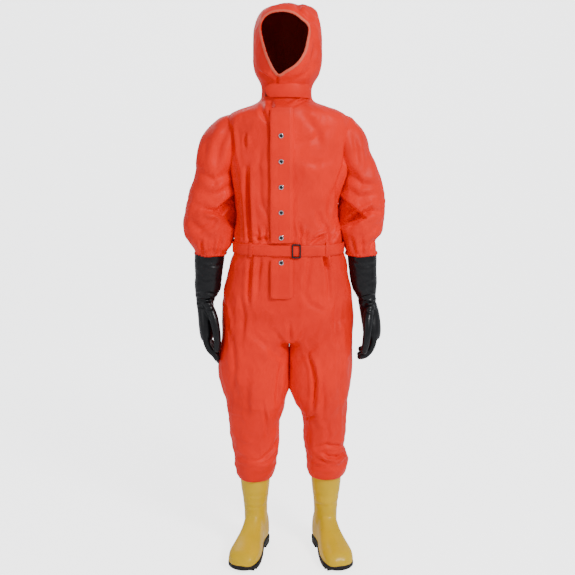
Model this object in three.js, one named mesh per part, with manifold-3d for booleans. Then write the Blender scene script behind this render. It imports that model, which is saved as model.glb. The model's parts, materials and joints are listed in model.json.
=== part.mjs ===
// One-piece chemical protective suit: hooded coverall with integral gloves and rubber boots.
// Millimetres. +Z up, the front faces -Y, the wearer's right side is at -X.
// The origin is on the floor, under the middle of the suit.
import * as THREE from "three";
import { ParametricGeometry } from "three/addons/geometries/ParametricGeometry.js";
import { mergeVertices } from "three/addons/utils/BufferGeometryUtils.js";
import Module from "manifold-3d";

const wasm = await Module();
wasm.setup();

// ---- Driving dimensions ----
const WALL = 3; // fabric shell, as an empty suit that keeps its shape
const GAP = 0.35; // between pieces that touch
const JOINT_GAP = 0.75; // between a ball and its seat, past the facets' sag
const RING_SEGMENTS = 20;
const LIMB_SEGMENTS = 12;
const BALL_TURNS = 28;
const BALL_BANDS = 6;
const BALL_INNER_TURNS = 12; // a ball's hidden inside is coarser
const FAR = 600; // beyond every piece, for cutting

const CHEST_FRONT = -118; // y of the straight front closure
const TRUNK_SQUARENESS = 2.6;
const SIDE_SEAM = 12; // y of the side seams
const NECK = { x: -8, y: 8, radius: 78, bottom: 1462, collarTop: 1482, hoodTop: 1560 };

const BELT = { low: 1010, high: 1045, thickness: 3, loopX: 118, loopWidth: 12, loopOver: 9 };
const BUCKLE = { x: 22, width: 28, height: 44, rim: 4.5, thickness: 4, corner: 5, slideGap: 0.35 };

const ZIP = { x: -4, tapeWidth: 14, tapeThickness: 1.2, railWidth: 3, railHeight: 2.9 };
ZIP.low = BELT.high + 7;
ZIP.high = 1455;
const SLIDER = { width: 13, length: 20, thickness: 2.2, top: 1445, pullLength: 30, pullWidth: 8 };

const FLAP = { free: -57, seam: 12, inner: 7, outer: 8.4, seamRib: 8, high: 1459, hemLow: 880 };
const SNAP = { x: -24, capRadius: 8, capHeight: 3.2, studRadius: 5, top: 1375, pitch: 76.6, count: 6 };

const FACE = { x: -14, top: 1737, chin: 1550, halfWidth: 72, edging: 7, edgingThickness: 1.6 };
const TAB = { left: 62, right: -80, low: 1486, high: 1528, inner: 2.6, outer: 4.8 };

const trunkStations = [
  { z: 838, low: -207, high: 196, back: 126 },
  { z: 896, low: -204, high: 190, back: 124 },
  { z: 981, low: -187, high: 180, back: 114 },
  { z: 1027, low: -172, high: 166, back: 104 },
  { z: 1075, low: -172, high: 166, back: 110 },
  { z: 1165, low: -167, high: 158, back: 112 },
  { z: 1263, low: -174, high: 168, back: 114 },
  { z: 1360, low: -180, high: 171, back: 112 },
  { z: 1425, low: -174, high: 166, back: 96 },
  { z: 1455, low: -134, high: 122, back: 92 },
  { z: 1482, low: -88.5, high: 72.5, back: 88.5 },
];
const CHEST_SLOPE = [
  { z: 838, y: CHEST_FRONT - 2 },
  { z: 1027, y: CHEST_FRONT },
  { z: 1455, y: CHEST_FRONT },
  { z: 1482, y: CHEST_FRONT + 45.5 },
];

const hoodStations = [
  { z: 1534, x: NECK.x, y: 10, rx: 86, ry: 92 },
  { z: 1550, x: -1, y: 8, rx: 97, ry: 106 },
  { z: 1580, x: -5, y: 6, rx: 104, ry: 114 },
  { z: 1643, x: -5, y: 8, rx: 107, ry: 122 },
  { z: 1700, x: -3, y: 10, rx: 100, ry: 117 },
  { z: 1742, x: -2, y: 12, rx: 84, ry: 96 },
  { z: 1762, x: 0, y: 14, rx: 55, ry: 60 },
  { z: 1770, x: 3, y: 14, rx: 18, ry: 20 },
];

// side: -1 is the wearer's right. Pivots carry the joints named in the record.
const SIDES = [
  {
    name: "right",
    side: -1,
    shoulder: { x: -197, y: 5, z: 1372, radius: 60, back: 30, forward: 90 },
    upperSleeve: [
      { z: 1372, x: -210, rx: 26, ry: 44 },
      { z: 1335, x: -232, rx: 47, ry: 52 },
      { z: 1263, x: -237, rx: 52, ry: 58 },
      { z: 1175, x: -247, rx: 60, ry: 60 },
    ],
    elbow: { x: -247, y: 5, z: 1175, radius: 62, bend: 90 },
    forearmSleeve: [
      { z: 1175, x: -247, rx: 56, ry: 56 },
      { z: 1136, x: -258, rx: 66, ry: 62 },
      { z: 1084, x: -260, rx: 69, ry: 62 },
      { z: 1045, x: -250, rx: 66, ry: 58 },
      { z: 1014, x: -249, rx: 50, ry: 50 },
    ],
    cuff: { z: 1000, x: -249, radius: 50 },
    gauntlet: [
      { z: 1062, x: -250, rx: 46, ry: 46 },
      { z: 1000, x: -249, rx: 46.2, ry: 46.2 },
      { z: 938, x: -254, rx: 43, ry: 43 },
      { z: 890, x: -257, rx: 40, ry: 40 },
      { z: 850, x: -264, rx: 33, ry: 34 },
    ],
    wrist: { x: -264, y: 0, z: 850, radius: 31, swing: 22 },
    palm: [
      { z: 850, x: -264, y: 0, rx: 28, ry: 29 },
      { z: 812, x: -262, y: -4, rx: 28, ry: 40 },
      { z: 770, x: -260, y: -8, rx: 28, ry: 46 },
      { z: 742, x: -258, y: -10, rx: 24, ry: 44 },
    ],
    fingertip: { x: -248, z: 652 },
    thumb: { x: -238, y: -46, top: 790, tip: 700 },
    hip: { x: -110, y: 0, z: 830, radius: 104, bend: 60 },
    thigh: [
      { z: 830, x: -110, rx: 94, ry: 94 },
      { z: 740, x: -112, rx: 106, ry: 106 },
      { z: 640, x: -113, rx: 108, ry: 106 },
      { z: 505, x: -108, rx: 96, ry: 96 },
    ],
    knee: { x: -108, y: 0, z: 505, radius: 98, bend: 75 },
    shin: [
      { z: 505, x: -108, y: 0, rx: 88, ry: 88 },
      { z: 420, x: -112, y: 8, rx: 82, ry: 80 },
      { z: 320, x: -112, y: 16, rx: 69, ry: 72 },
      { z: 268, x: -113, y: 20, rx: 54, ry: 57 },
    ],
    hem: { z: 258, x: -112, y: 20, rx: 54.5, ry: 57.5 },
    boot: { x: -112, y: 20, toeOut: 12 },
  },
  {
    name: "left",
    side: 1,
    shoulder: { x: 184, y: 5, z: 1372, radius: 57, back: 30, forward: 90 },
    upperSleeve: [
      { z: 1372, x: 200, rx: 24, ry: 42 },
      { z: 1335, x: 219, rx: 42, ry: 50 },
      { z: 1263, x: 228, rx: 46, ry: 56 },
      { z: 1175, x: 238, rx: 58, ry: 58 },
    ],
    elbow: { x: 238, y: 5, z: 1175, radius: 60, bend: 90 },
    forearmSleeve: [
      { z: 1175, x: 238, rx: 54, ry: 54 },
      { z: 1136, x: 240, rx: 62, ry: 60 },
      { z: 1090, x: 238, rx: 60, ry: 60 },
      { z: 1045, x: 227, rx: 53, ry: 54 },
      { z: 1014, x: 228, rx: 49, ry: 49 },
    ],
    cuff: { z: 1000, x: 228, radius: 49 },
    gauntlet: [
      { z: 1062, x: 230, rx: 44, ry: 44 },
      { z: 1000, x: 228, rx: 45.2, ry: 45.2 },
      { z: 952, x: 235, rx: 44, ry: 43 },
      { z: 895, x: 243, rx: 38, ry: 40 },
      { z: 855, x: 249, rx: 33, ry: 34 },
    ],
    wrist: { x: 249, y: 0, z: 855, radius: 31, swing: 22 },
    palm: [
      { z: 855, x: 249, y: 0, rx: 28, ry: 29 },
      { z: 812, x: 256, y: -6, rx: 28, ry: 40 },
      { z: 772, x: 262, y: -12, rx: 28, ry: 46 },
      { z: 745, x: 264, y: -16, rx: 25, ry: 44 },
    ],
    fingertip: { x: 244, z: 660 },
    thumb: { x: 243, y: -56, top: 792, tip: 700 },
    hip: { x: 106, y: 0, z: 830, radius: 100, bend: 60 },
    thigh: [
      { z: 830, x: 106, rx: 90, ry: 90 },
      { z: 740, x: 107, rx: 98, ry: 102 },
      { z: 640, x: 108, rx: 99, ry: 102 },
      { z: 515, x: 103, rx: 91, ry: 91 },
    ],
    knee: { x: 103, y: 0, z: 515, radius: 93, bend: 75 },
    shin: [
      { z: 515, x: 103, y: 0, rx: 84, ry: 84 },
      { z: 440, x: 114, y: 8, rx: 76, ry: 78 },
      { z: 330, x: 121, y: 16, rx: 71, ry: 72 },
      { z: 275, x: 123, y: 20, rx: 54, ry: 57 },
    ],
    hem: { z: 265, x: 123, y: 20, rx: 54.5, ry: 57.5 },
    boot: { x: 123, y: 20, toeOut: 12 },
  },
];

const CUFF_HEIGHT = 13.5;
const HEM_HEIGHT = 9.5;
const BOOT = {
  soleThickness: 12, heelHeight: 26, archStart: 64, heelLength: 82, soleLip: 2, wall: 3.5,
  shaftTop: 335, shaftRx: 50, shaftRy: 53, ankleRx: 37, ankleRy: 52, ankleZ: 140,
  heelBack: 74, toeFront: -198, ballWidth: 98, heelWidth: 74, footHeight: 92, toeHeight: 52,
};
const FINGER = { radius: 11.5, spacing: 22, palmWall: 4, palmFloor: 8, shorter: [8, 0, 4, 22] };

// ---- Colours ----
const material = (color, roughness, metalness = 0) =>
  new THREE.MeshStandardMaterial({ color, roughness, metalness });
const FABRIC = () => material(0xe84128, 0.45);
const FABRIC_TRIM = () => material(0xd23a22, 0.6);
const GLOVE = () => material(0x1a1a1b, 0.35);
const BOOT_RUBBER = () => material(0xd7af14, 0.25);
const SOLE_RUBBER = () => material(0x16161a, 0.6);
const NICKEL = () => material(0xb9bbbe, 0.2, 1);
const PLASTIC = () => material(0x111113, 0.3);
const ZIP_TAPE = () => material(0xb5301c, 0.8);

// ---- Solids ----
const suit = new THREE.Group();

// A closed mesh as a manifold solid whose faces point outwards.
function solidOf(geometry) {
  const bare = geometry.clone();
  bare.deleteAttribute("normal");
  bare.deleteAttribute("uv");
  const merged = mergeVertices(bare, 1e-3);
  const index = merged.index.array;
  const build = (flip) => {
    const kept = [];
    for (let i = 0; i < index.length; i += 3) {
      const [a, b, c] = [index[i], index[i + 1], index[i + 2]];
      if (a === b || b === c || c === a) continue;
      kept.push(a, flip ? c : b, flip ? b : c);
    }
    return new wasm.Manifold(new wasm.Mesh({
      numProp: 3,
      vertProperties: Float32Array.from(merged.attributes.position.array),
      triVerts: Uint32Array.from(kept),
    }));
  };
  const solid = build(false);
  return solid.volume() < 0 ? build(true) : solid;
}

// Adds a named piece to the suit.
function add(name, solid, look) {
  const mesh = solid.getMesh();
  const geometry = new THREE.BufferGeometry();
  geometry.setAttribute("position", new THREE.BufferAttribute(mesh.vertProperties, 3));
  geometry.setIndex(new THREE.BufferAttribute(mesh.triVerts, 1));
  geometry.computeVertexNormals();
  const piece = new THREE.Mesh(geometry, look);
  piece.name = name;
  suit.add(piece);
}

// A superellipse ring, level at height z.
function ring({ x = 0, y = 0, z, rx, ry, power = 2 }) {
  const bend = (value) => Math.sign(value) * Math.abs(value) ** (2 / power);
  return (turn) => new THREE.Vector3(
    x + rx * bend(Math.cos(turn)),
    y + ry * bend(Math.sin(turn)),
    z,
  );
}

// A closed solid through a stack of rings, with flat ends.
function loft(rings, segments = LIMB_SEGMENTS) {
  const stacks = rings.length + 1;
  const middle = (one) => one(0).add(one(Math.PI)).multiplyScalar(0.5);
  const surface = (u, v, target) => {
    const row = Math.round(v * stacks);
    if (row === 0) target.copy(middle(rings[0]));
    else if (row === stacks) target.copy(middle(rings.at(-1)));
    else target.copy(rings[row - 1](u * 2 * Math.PI));
  };
  return solidOf(new ParametricGeometry(surface, segments, stacks));
}

function box(low, high) {
  const size = high.map((value, i) => value - low[i]);
  const shape = new THREE.BoxGeometry(...size);
  shape.translate(...low.map((value, i) => value + size[i] / 2));
  return solidOf(shape);
}

// A ball whose bands turn about the hinge, so that it turns smoothly in its seat.
function ball(pivot, radius, hinge, turns = BALL_TURNS) {
  const shape = new THREE.SphereGeometry(radius, turns, BALL_BANDS);
  if (hinge === "x") shape.rotateZ(Math.PI / 2);
  shape.translate(pivot.x, pivot.y ?? 0, pivot.z);
  return solidOf(shape);
}

// The space that a limb sweeps as it turns from low to high degrees about its pivot.
// down is the limb's rest direction and axis its hinge, both unit vectors.
function sweep(pivot, down, axis, radius, low, high, halfWidth) {
  const toward = new THREE.Vector3().crossVectors(axis, down);
  const radians = THREE.MathUtils.degToRad;
  const along = (angle, length, offset) => new THREE.Vector2(
    length * Math.cos(angle) - offset * Math.sin(angle),
    length * Math.sin(angle) + offset * Math.cos(angle),
  );
  const [first, last] = [radians(low), radians(high)];
  const points = [along(first, 0, -radius), along(first, FAR, -radius)];
  const steps = 4;
  for (let i = 0; i <= steps; i++) points.push(along(first + ((last - first) * i) / steps, 1.5 * FAR, 0));
  points.push(along(last, FAR, radius), along(last, 0, radius), new THREE.Vector2(0, 0));
  const shape = new THREE.ExtrudeGeometry(new THREE.Shape(points), {
    depth: 2 * halfWidth, bevelEnabled: false,
  });
  shape.translate(0, 0, -halfWidth);
  const place = new THREE.Matrix4().makeBasis(down, toward, axis);
  place.setPosition(pivot.x, pivot.y ?? 0, pivot.z);
  return solidOf(shape.applyMatrix4(place));
}

// Rings of a limb, thinned by inset and lengthened past their ends for the inner surface.
function limbRings(stations, inset = 0, past = 0) {
  return stations.map((station, i) => ring({
    x: station.x,
    y: station.y ?? 0,
    z: station.z + (i === 0 ? past : i === stations.length - 1 ? -past : 0),
    rx: station.rx - inset,
    ry: station.ry - inset,
  }));
}

// A hollow limb that starts in a ball at its upper joint. opening cuts the ball's way in.
function jointedLimb(stations, pivot, hinge, wall, opening) {
  const outer = ball(pivot, pivot.radius, hinge).add(loft(limbRings(stations)));
  const inner = ball(pivot, pivot.radius - wall, hinge, BALL_INNER_TURNS).add(loft(limbRings(stations, wall, 5)));
  const lower = stations.at(-1).z;
  const floor = box([-FAR, -FAR, -FAR], [FAR, FAR, lower]);
  return outer.subtract(inner).subtract(opening).subtract(floor);
}

const seat = (pivot, hinge) => ball(pivot, pivot.radius + JOINT_GAP, hinge);
const DOWN = new THREE.Vector3(0, 0, -1);
const AXIS_X = new THREE.Vector3(1, 0, 0);
const AXIS_Y = new THREE.Vector3(0, 1, 0);

// ---- Trunk ----
// The front line of the trunk at a height, straight along the closure.
function trunkFront(z) {
  const above = CHEST_SLOPE.findIndex((point) => point.z >= z);
  const next = CHEST_SLOPE[Math.max(above, 1)];
  const last = CHEST_SLOPE[Math.max(above, 1) - 1];
  return last.y + ((next.y - last.y) * (z - last.z)) / (next.z - last.z);
}

// The trunk's solid, grown by offset on its outside.
function trunk(offset, past = 0) {
  const rings = trunkStations.map(({ z, low, high, back }, i) => {
    const front = trunkFront(z);
    const end = i === 0 ? -past : i === trunkStations.length - 1 ? past : 0;
    return ring({
      x: (low + high) / 2,
      y: (front + back) / 2,
      z: z + end,
      rx: (high - low) / 2 + offset,
      ry: (back - front) / 2 + offset,
      power: TRUNK_SQUARENESS,
    });
  });
  return loft(rings, RING_SEGMENTS);
}
const trunkLayer = (inner, outer) => trunk(outer).subtract(trunk(inner, 1));

const neckPost = (radius, low, high, turns = BALL_TURNS) => {
  const shape = new THREE.CylinderGeometry(radius, radius, high - low, turns);
  shape.rotateX(Math.PI / 2);
  shape.translate(NECK.x, NECK.y, (low + high) / 2);
  return solidOf(shape);
};

let trunkShell = trunk(0)
  .subtract(trunk(-WALL, 5))
  .subtract(neckPost(NECK.radius + JOINT_GAP, NECK.bottom - 20, NECK.collarTop + 20));
for (const { shoulder, hip } of SIDES) {
  trunkShell = trunkShell
    .subtract(seat(shoulder, "x"))
    .subtract(seat(hip, "x"))
    .subtract(sweep(hip, DOWN, AXIS_X.clone().negate(), hip.radius + 8, 0, hip.bend, hip.radius + 2));
}
const half = GAP / 2;
const panels = {
  torso_front_right: box([-FAR, -FAR, 0], [ZIP.x - half, SIDE_SEAM - half, 3 * FAR]),
  torso_front_left: box([ZIP.x + half, -FAR, 0], [FAR, SIDE_SEAM - half, 3 * FAR]),
  torso_back: box([-FAR, SIDE_SEAM + half, 0], [FAR, FAR, 3 * FAR]),
};
for (const [name, space] of Object.entries(panels)) add(name, trunkShell.intersect(space), FABRIC());

// ---- Front closure ----
// A strip of a layer over the trunk's front, between two x and two z.
const frontStrip = (inner, outer, x0, x1, z0, z1) =>
  trunkLayer(inner, outer).intersect(box([x0, -FAR, z0], [x1, 0, z1]));

for (const [name, side] of [["right", -1], ["left", 1]]) {
  const edge = ZIP.x + side * half;
  const across = (near, far) => [Math.min(edge + side * near, edge + side * far),
    Math.max(edge + side * near, edge + side * far)];
  const tape = frontStrip(GAP, GAP + ZIP.tapeThickness, ...across(0, ZIP.tapeWidth), ZIP.low, ZIP.high);
  const rail = frontStrip(GAP, GAP + ZIP.railHeight, ...across(0, ZIP.railWidth), ZIP.low, ZIP.high);
  add(`zip_tape_${name}`, tape.add(rail), ZIP_TAPE());
}

const sliderBack = CHEST_FRONT - ZIP.railHeight - 2 * GAP;
const sliderFront = sliderBack - SLIDER.thickness;
const sliderLow = SLIDER.top - SLIDER.length;
add("zip_slider", box(
  [ZIP.x - SLIDER.width / 2, sliderFront, sliderLow],
  [ZIP.x + SLIDER.width / 2, sliderBack, SLIDER.top],
), NICKEL());
add("zip_pull", box(
  [ZIP.x - SLIDER.pullWidth / 2, sliderFront + 0.7, sliderLow - GAP - SLIDER.pullLength],
  [ZIP.x + SLIDER.pullWidth / 2, sliderBack - 0.7, sliderLow - GAP],
), NICKEL());

add("front_flap", frontStrip(FLAP.inner, FLAP.outer, FLAP.free, FLAP.seam, ZIP.low, FLAP.high), FABRIC());
add("flap_seam", frontStrip(GAP, FLAP.outer, FLAP.seam + GAP, FLAP.seam + GAP + FLAP.seamRib,
  ZIP.low, FLAP.high), FABRIC());
add("front_flap_lower", frontStrip(GAP, FLAP.outer - FLAP.inner + 2 * GAP, FLAP.free, FLAP.seam,
  FLAP.hemLow, BELT.low - 7), FABRIC());

// A short post along y, centred at x and z, between two y values.
function postY(radius, x, z, front, back, segments = 14) {
  const shape = new THREE.CylinderGeometry(radius, radius, back - front, segments);
  shape.translate(x, (front + back) / 2, z);
  return solidOf(shape);
}

for (let i = 0; i < SNAP.count; i++) {
  const z = SNAP.top - i * SNAP.pitch;
  const onFlap = z > BELT.high;
  const lowerOuter = FLAP.outer - FLAP.inner + 2 * GAP;
  const seatY = onFlap ? FLAP.outer : lowerOuter;
  const cover = postY(SNAP.capRadius, SNAP.x, z, -FAR, 0, 18);
  const dome = trunkLayer(seatY + GAP, seatY + GAP + SNAP.capHeight).intersect(cover);
  add(`snap_cap_${i + 1}`, dome, NICKEL());
  if (!onFlap) continue;
  const post = postY(SNAP.studRadius, SNAP.x, z, -FAR, 0);
  add(`snap_stud_${i + 1}`, trunkLayer(GAP, FLAP.inner - GAP).intersect(post), NICKEL());
}

// ---- Belt ----
const beltSpace = box([-FAR, -FAR, BELT.low], [FAR, FAR, BELT.high]);
add("waist_belt", trunkLayer(GAP, GAP + BELT.thickness).intersect(beltSpace), FABRIC_TRIM());
for (const [name, side] of [["right", -1], ["left", 1]]) {
  const x = side * BELT.loopX;
  const outside = BELT.thickness + 2 * GAP;
  const strap = box(
    [x - BELT.loopWidth / 2, -FAR, BELT.low - BELT.loopOver],
    [x + BELT.loopWidth / 2, 0, BELT.high + BELT.loopOver],
  );
  const room = trunk(outside).intersect(box([-FAR, -FAR, BELT.low - 1], [FAR, 0, BELT.high + 1]));
  add(`belt_loop_${name}`, trunkLayer(GAP, outside + 1.5).intersect(strap).subtract(room), FABRIC_TRIM());
}

// A rounded rectangle outline.
function roundedOutline(Kind, width, height, corner) {
  const [w, h] = [width / 2, height / 2];
  const outline = new Kind();
  outline.moveTo(-w + corner, -h);
  outline.lineTo(w - corner, -h);
  outline.absarc(w - corner, -h + corner, corner, -Math.PI / 2, 0, false);
  outline.absarc(w - corner, h - corner, corner, 0, Math.PI / 2, false);
  outline.absarc(-w + corner, h - corner, corner, Math.PI / 2, Math.PI, false);
  outline.absarc(-w + corner, -h + corner, corner, Math.PI, 1.5 * Math.PI, false);
  return outline;
}
const frame = roundedOutline(THREE.Shape, BUCKLE.width, BUCKLE.height, BUCKLE.corner);
frame.holes.push(roundedOutline(THREE.Path, BUCKLE.width - 2 * BUCKLE.rim,
  BUCKLE.height - 2 * BUCKLE.rim, BUCKLE.corner / 2));
const frameShape = new THREE.ExtrudeGeometry(frame, {
  depth: BUCKLE.thickness, bevelEnabled: false, curveSegments: 4,
});
frameShape.rotateX(Math.PI / 2);
frameShape.translate(
  BUCKLE.x,
  CHEST_FRONT - BELT.thickness - GAP - BUCKLE.slideGap,
  (BELT.low + BELT.high) / 2,
);
add("belt_buckle", solidOf(frameShape), PLASTIC());

// ---- Hood ----
const hoodSolid = (offset) => loft(hoodStations.map((station, i) => ring({
  ...station,
  z: station.z + (i === 0 ? -offset : i === hoodStations.length - 1 ? offset : 0),
  rx: Math.max(station.rx + offset, 4),
  ry: Math.max(station.ry + offset, 4),
})), RING_SEGMENTS);

// The face opening: a round top narrowing to a soft chin, as a block that runs forwards.
function faceBlock(grow) {
  const width = FACE.halfWidth + grow;
  const [top, chin] = [FACE.top + grow, FACE.chin - grow];
  const shoulder = top - width;
  const shape = new THREE.Shape();
  shape.moveTo(-width, shoulder - 20);
  shape.absarc(0, shoulder, width, Math.PI, 0, true);
  shape.lineTo(width, shoulder - 20);
  shape.quadraticCurveTo(width - 6, chin + 12, 0, chin);
  shape.quadraticCurveTo(-width + 6, chin + 12, -width, shoulder - 20);
  const block = new THREE.ExtrudeGeometry(shape, { depth: FAR, bevelEnabled: false, curveSegments: 7 });
  block.rotateX(Math.PI / 2);
  block.translate(FACE.x, 0, 0);
  return solidOf(block);
}
const hoodNeck = neckPost(NECK.radius, NECK.bottom, NECK.hoodTop);
const hoodBore = neckPost(NECK.radius - WALL, NECK.bottom - 5, NECK.hoodTop + 5, RING_SEGMENTS);
const hoodShell = hoodSolid(0).add(hoodNeck)
  .subtract(hoodSolid(-WALL).add(hoodBore))
  .subtract(faceBlock(0));
add("hood", hoodShell, FABRIC());
const edging = hoodSolid(GAP + FACE.edgingThickness).subtract(hoodSolid(GAP))
  .intersect(faceBlock(FACE.edging)).subtract(faceBlock(0));
add("face_edging", edging, FABRIC_TRIM());

// ---- Throat tab ----
const neckLayer = (inner, outer, low, high) =>
  neckPost(NECK.radius + outer, low, high).subtract(neckPost(NECK.radius + inner, low - 1, high + 1));
const tabFront = NECK.y - 30;
const tabSpace = box([TAB.right, -FAR, TAB.low], [TAB.left, tabFront, TAB.high]);
add("throat_tab", neckLayer(TAB.inner, TAB.outer, TAB.low, TAB.high).intersect(tabSpace), FABRIC());
const patchSpace = box([-74, -FAR, TAB.low + 4], [-44, tabFront, TAB.high - 22]);
add("tab_fastener", neckLayer(GAP, TAB.inner - GAP, TAB.low + 4, TAB.high - 22).intersect(patchSpace),
  FABRIC_TRIM());

// ---- Arms, legs, gloves and boots ----
function capsule(from, to, radius) {
  const span = new THREE.Vector3().subVectors(to, from);
  const shape = new THREE.CapsuleGeometry(radius, span.length(), 2, 7);
  const turn = new THREE.Quaternion().setFromUnitVectors(AXIS_Y, span.clone().normalize());
  shape.applyQuaternion(turn);
  const middle = from.clone().add(to).multiplyScalar(0.5);
  shape.translate(middle.x, middle.y, middle.z);
  return solidOf(shape);
}

// A cuff or hem: a gathered band at a limb's end.
function band({ x, y = 0, z, rx, ry }, height, wall) {
  const at = (inset, past) => loft([
    ring({ x, y, z: z - past, rx: rx - inset, ry: ry - inset }),
    ring({ x, y, z: z + height + past, rx: rx - inset, ry: ry - inset }),
  ]);
  return at(0, 0).subtract(at(wall, 1));
}

function makeArm({ name, side, ...arm }) {
  const { shoulder, elbow, wrist } = arm;
  const chestSide = shoulder.x - side * 26;
  const wayIn = side < 0
    ? box([chestSide, -FAR, 0], [FAR, FAR, 3 * FAR])
    : box([-FAR, -FAR, 0], [chestSide, FAR, 3 * FAR]);
  const flex = AXIS_X.clone().negate();
  const upper = jointedLimb(arm.upperSleeve, shoulder, "x", WALL, wayIn)
    .subtract(seat(elbow, "x"))
    .subtract(sweep(elbow, DOWN, flex, elbow.radius + 9, 0, elbow.bend, FAR / 2));
  add(`upper_sleeve_${name}`, upper, FABRIC());

  const elbowTop = box([-FAR, -FAR, elbow.z + 22], [FAR, FAR, 3 * FAR]);
  add(`forearm_sleeve_${name}`, jointedLimb(arm.forearmSleeve, elbow, "x", WALL, elbowTop), FABRIC());
  const cuff = { ...arm.cuff, rx: arm.cuff.radius, ry: arm.cuff.radius };
  add(`cuff_elastic_${name}`, band(cuff, CUFF_HEIGHT, WALL), FABRIC_TRIM());

  const gauntlet = loft(limbRings(arm.gauntlet)).subtract(loft(limbRings(arm.gauntlet, 2.2, 2)))
    .subtract(seat(wrist, "x"))
    .subtract(sweep(wrist, DOWN, AXIS_X, wrist.radius + 3, -wrist.swing, wrist.swing, FAR / 2));
  add(`glove_gauntlet_${name}`, gauntlet, GLOVE());

  const { palm, thumb, fingertip } = arm;
  const knuckle = palm.at(-1);
  let outer = ball(wrist, wrist.radius, "x").add(loft(limbRings(palm)));
  FINGER.shorter.forEach((shorter, i) => {
    const y = knuckle.y + (i - 1.5) * FINGER.spacing;
    const from = new THREE.Vector3(knuckle.x, y, knuckle.z + FINGER.palmFloor);
    const to = new THREE.Vector3(fingertip.x, y, fingertip.z + shorter);
    outer = outer.add(capsule(from, to, FINGER.radius));
  });
  const root = new THREE.Vector3(palm[1].x - side * 6, palm[1].y - 22, thumb.top);
  const tip = new THREE.Vector3(thumb.x, thumb.y, thumb.tip);
  outer = outer.add(capsule(root, tip, FINGER.radius));
  const inner = ball(wrist, wrist.radius - 2.2, "x", BALL_INNER_TURNS).add(loft(limbRings(palm, FINGER.palmWall, -FINGER.palmFloor)));
  const wristTop = box([-FAR, -FAR, wrist.z + 14], [FAR, FAR, 3 * FAR]);
  add(`glove_hand_${name}`, outer.subtract(inner).subtract(wristTop), GLOVE());
}

function makeLeg(limbs) {
  const { name, hip, knee } = limbs;
  const bootRoom = bootPlace(limbs)(bootSolid(GAP, BOOT.heelHeight, BOOT.shaftTop));
  const hipTop = box([-FAR, -FAR, hip.z + 48], [FAR, FAR, 3 * FAR]);
  const thigh = jointedLimb(limbs.thigh, hip, "x", WALL, hipTop)
    .subtract(seat(knee, "x"))
    .subtract(sweep(knee, DOWN, AXIS_X, knee.radius + 2, 0, knee.bend, knee.radius + 20));
  add(`trouser_thigh_${name}`, thigh, FABRIC());
  const kneeTop = box([-FAR, -FAR, knee.z + 42], [FAR, FAR, 3 * FAR]);
  const shin = jointedLimb(limbs.shin, knee, "x", WALL, kneeTop).subtract(bootRoom);
  add(`trouser_shin_${name}`, shin, FABRIC());
  add(`hem_elastic_${name}`, band(limbs.hem, HEM_HEIGHT, WALL).subtract(bootRoom), FABRIC_TRIM());
}

// A section across the foot: flat below, round above.
function footRing(y, width, height, low) {
  return (turn) => {
    const round = Math.sin(turn);
    const z = low + (round > 0 ? height * round ** 0.8 : 0);
    const edge = round > 0 ? 1 : 1 - 0.06 * -round;
    return new THREE.Vector3((width / 2) * Math.cos(turn) * edge, y, z + (round < 0 ? 6 * round : 0));
  };
}

// The boot's outer form, grown by offset: a foot along y and a shaft that rises from it.
function bootSolid(offset, low, top) {
  const { toeFront, heelBack, ballWidth, heelWidth, footHeight, toeHeight } = BOOT;
  const foot = [
    [toeFront - offset, 0.42 * ballWidth, 0.5 * toeHeight],
    [toeFront + 14, 0.74 * ballWidth, 0.92 * toeHeight],
    [toeFront + 48, 0.97 * ballWidth, 1.12 * toeHeight],
    [toeFront + 92, ballWidth, 1.34 * toeHeight],
    [toeFront + 150, 0.86 * ballWidth, footHeight],
    [heelBack - 70, heelWidth, footHeight],
    [heelBack - 18, heelWidth, footHeight],
    [heelBack + offset, 0.62 * heelWidth, 0.8 * footHeight],
  ];
  const rings = foot.map(([y, width, height]) =>
    footRing(y, width + 2 * offset, BOOT.heelHeight + height + offset - low, low));
  const shaft = [
    { z: low + 30, y: 18, rx: BOOT.ankleRx, ry: BOOT.ankleRy },
    { z: BOOT.ankleZ, y: 14, rx: BOOT.ankleRx, ry: BOOT.ankleRy },
    { z: 215, y: 3, rx: 0.5 * (BOOT.shaftRx + BOOT.ankleRx) + 4, ry: BOOT.shaftRy },
    { z: 250, y: 0, rx: BOOT.shaftRx, ry: BOOT.shaftRy },
    { z: top, y: 0, rx: BOOT.shaftRx, ry: BOOT.shaftRy },
  ].map((station) => ring({ ...station, rx: station.rx + offset, ry: station.ry + offset }));
  return loft(rings).add(loft(shaft));
}

// The outline of the sole, from the toe round to the heel.
function soleOutline(grow) {
  const { toeFront, heelBack, ballWidth, heelWidth } = BOOT;
  const shape = new THREE.Shape();
  const [ball, heel] = [ballWidth / 2 + grow, heelWidth / 2 + grow];
  shape.moveTo(0, toeFront - grow);
  shape.bezierCurveTo(ball * 0.8, toeFront - grow, ball, toeFront + 34, ball, toeFront + 80);
  shape.bezierCurveTo(ball, toeFront + 150, heel, heelBack - 120, heel, heelBack - 44);
  shape.bezierCurveTo(heel, heelBack - 8, heel * 0.6, heelBack + grow, 0, heelBack + grow);
  shape.bezierCurveTo(-heel * 0.6, heelBack + grow, -heel, heelBack - 8, -heel, heelBack - 44);
  shape.bezierCurveTo(-heel, heelBack - 120, -ball, toeFront + 150, -ball, toeFront + 80);
  shape.bezierCurveTo(-ball, toeFront + 34, -ball * 0.8, toeFront - grow, 0, toeFront - grow);
  return shape;
}

// Turns and moves a solid from the boot's own frame to its place.
function bootPlace({ side, boot }) {
  const place = new THREE.Matrix4().makeRotationZ(THREE.MathUtils.degToRad(side * boot.toeOut));
  place.setPosition(boot.x, boot.y, 0);
  return (solid) => solid.transform(place.elements);
}

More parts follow.
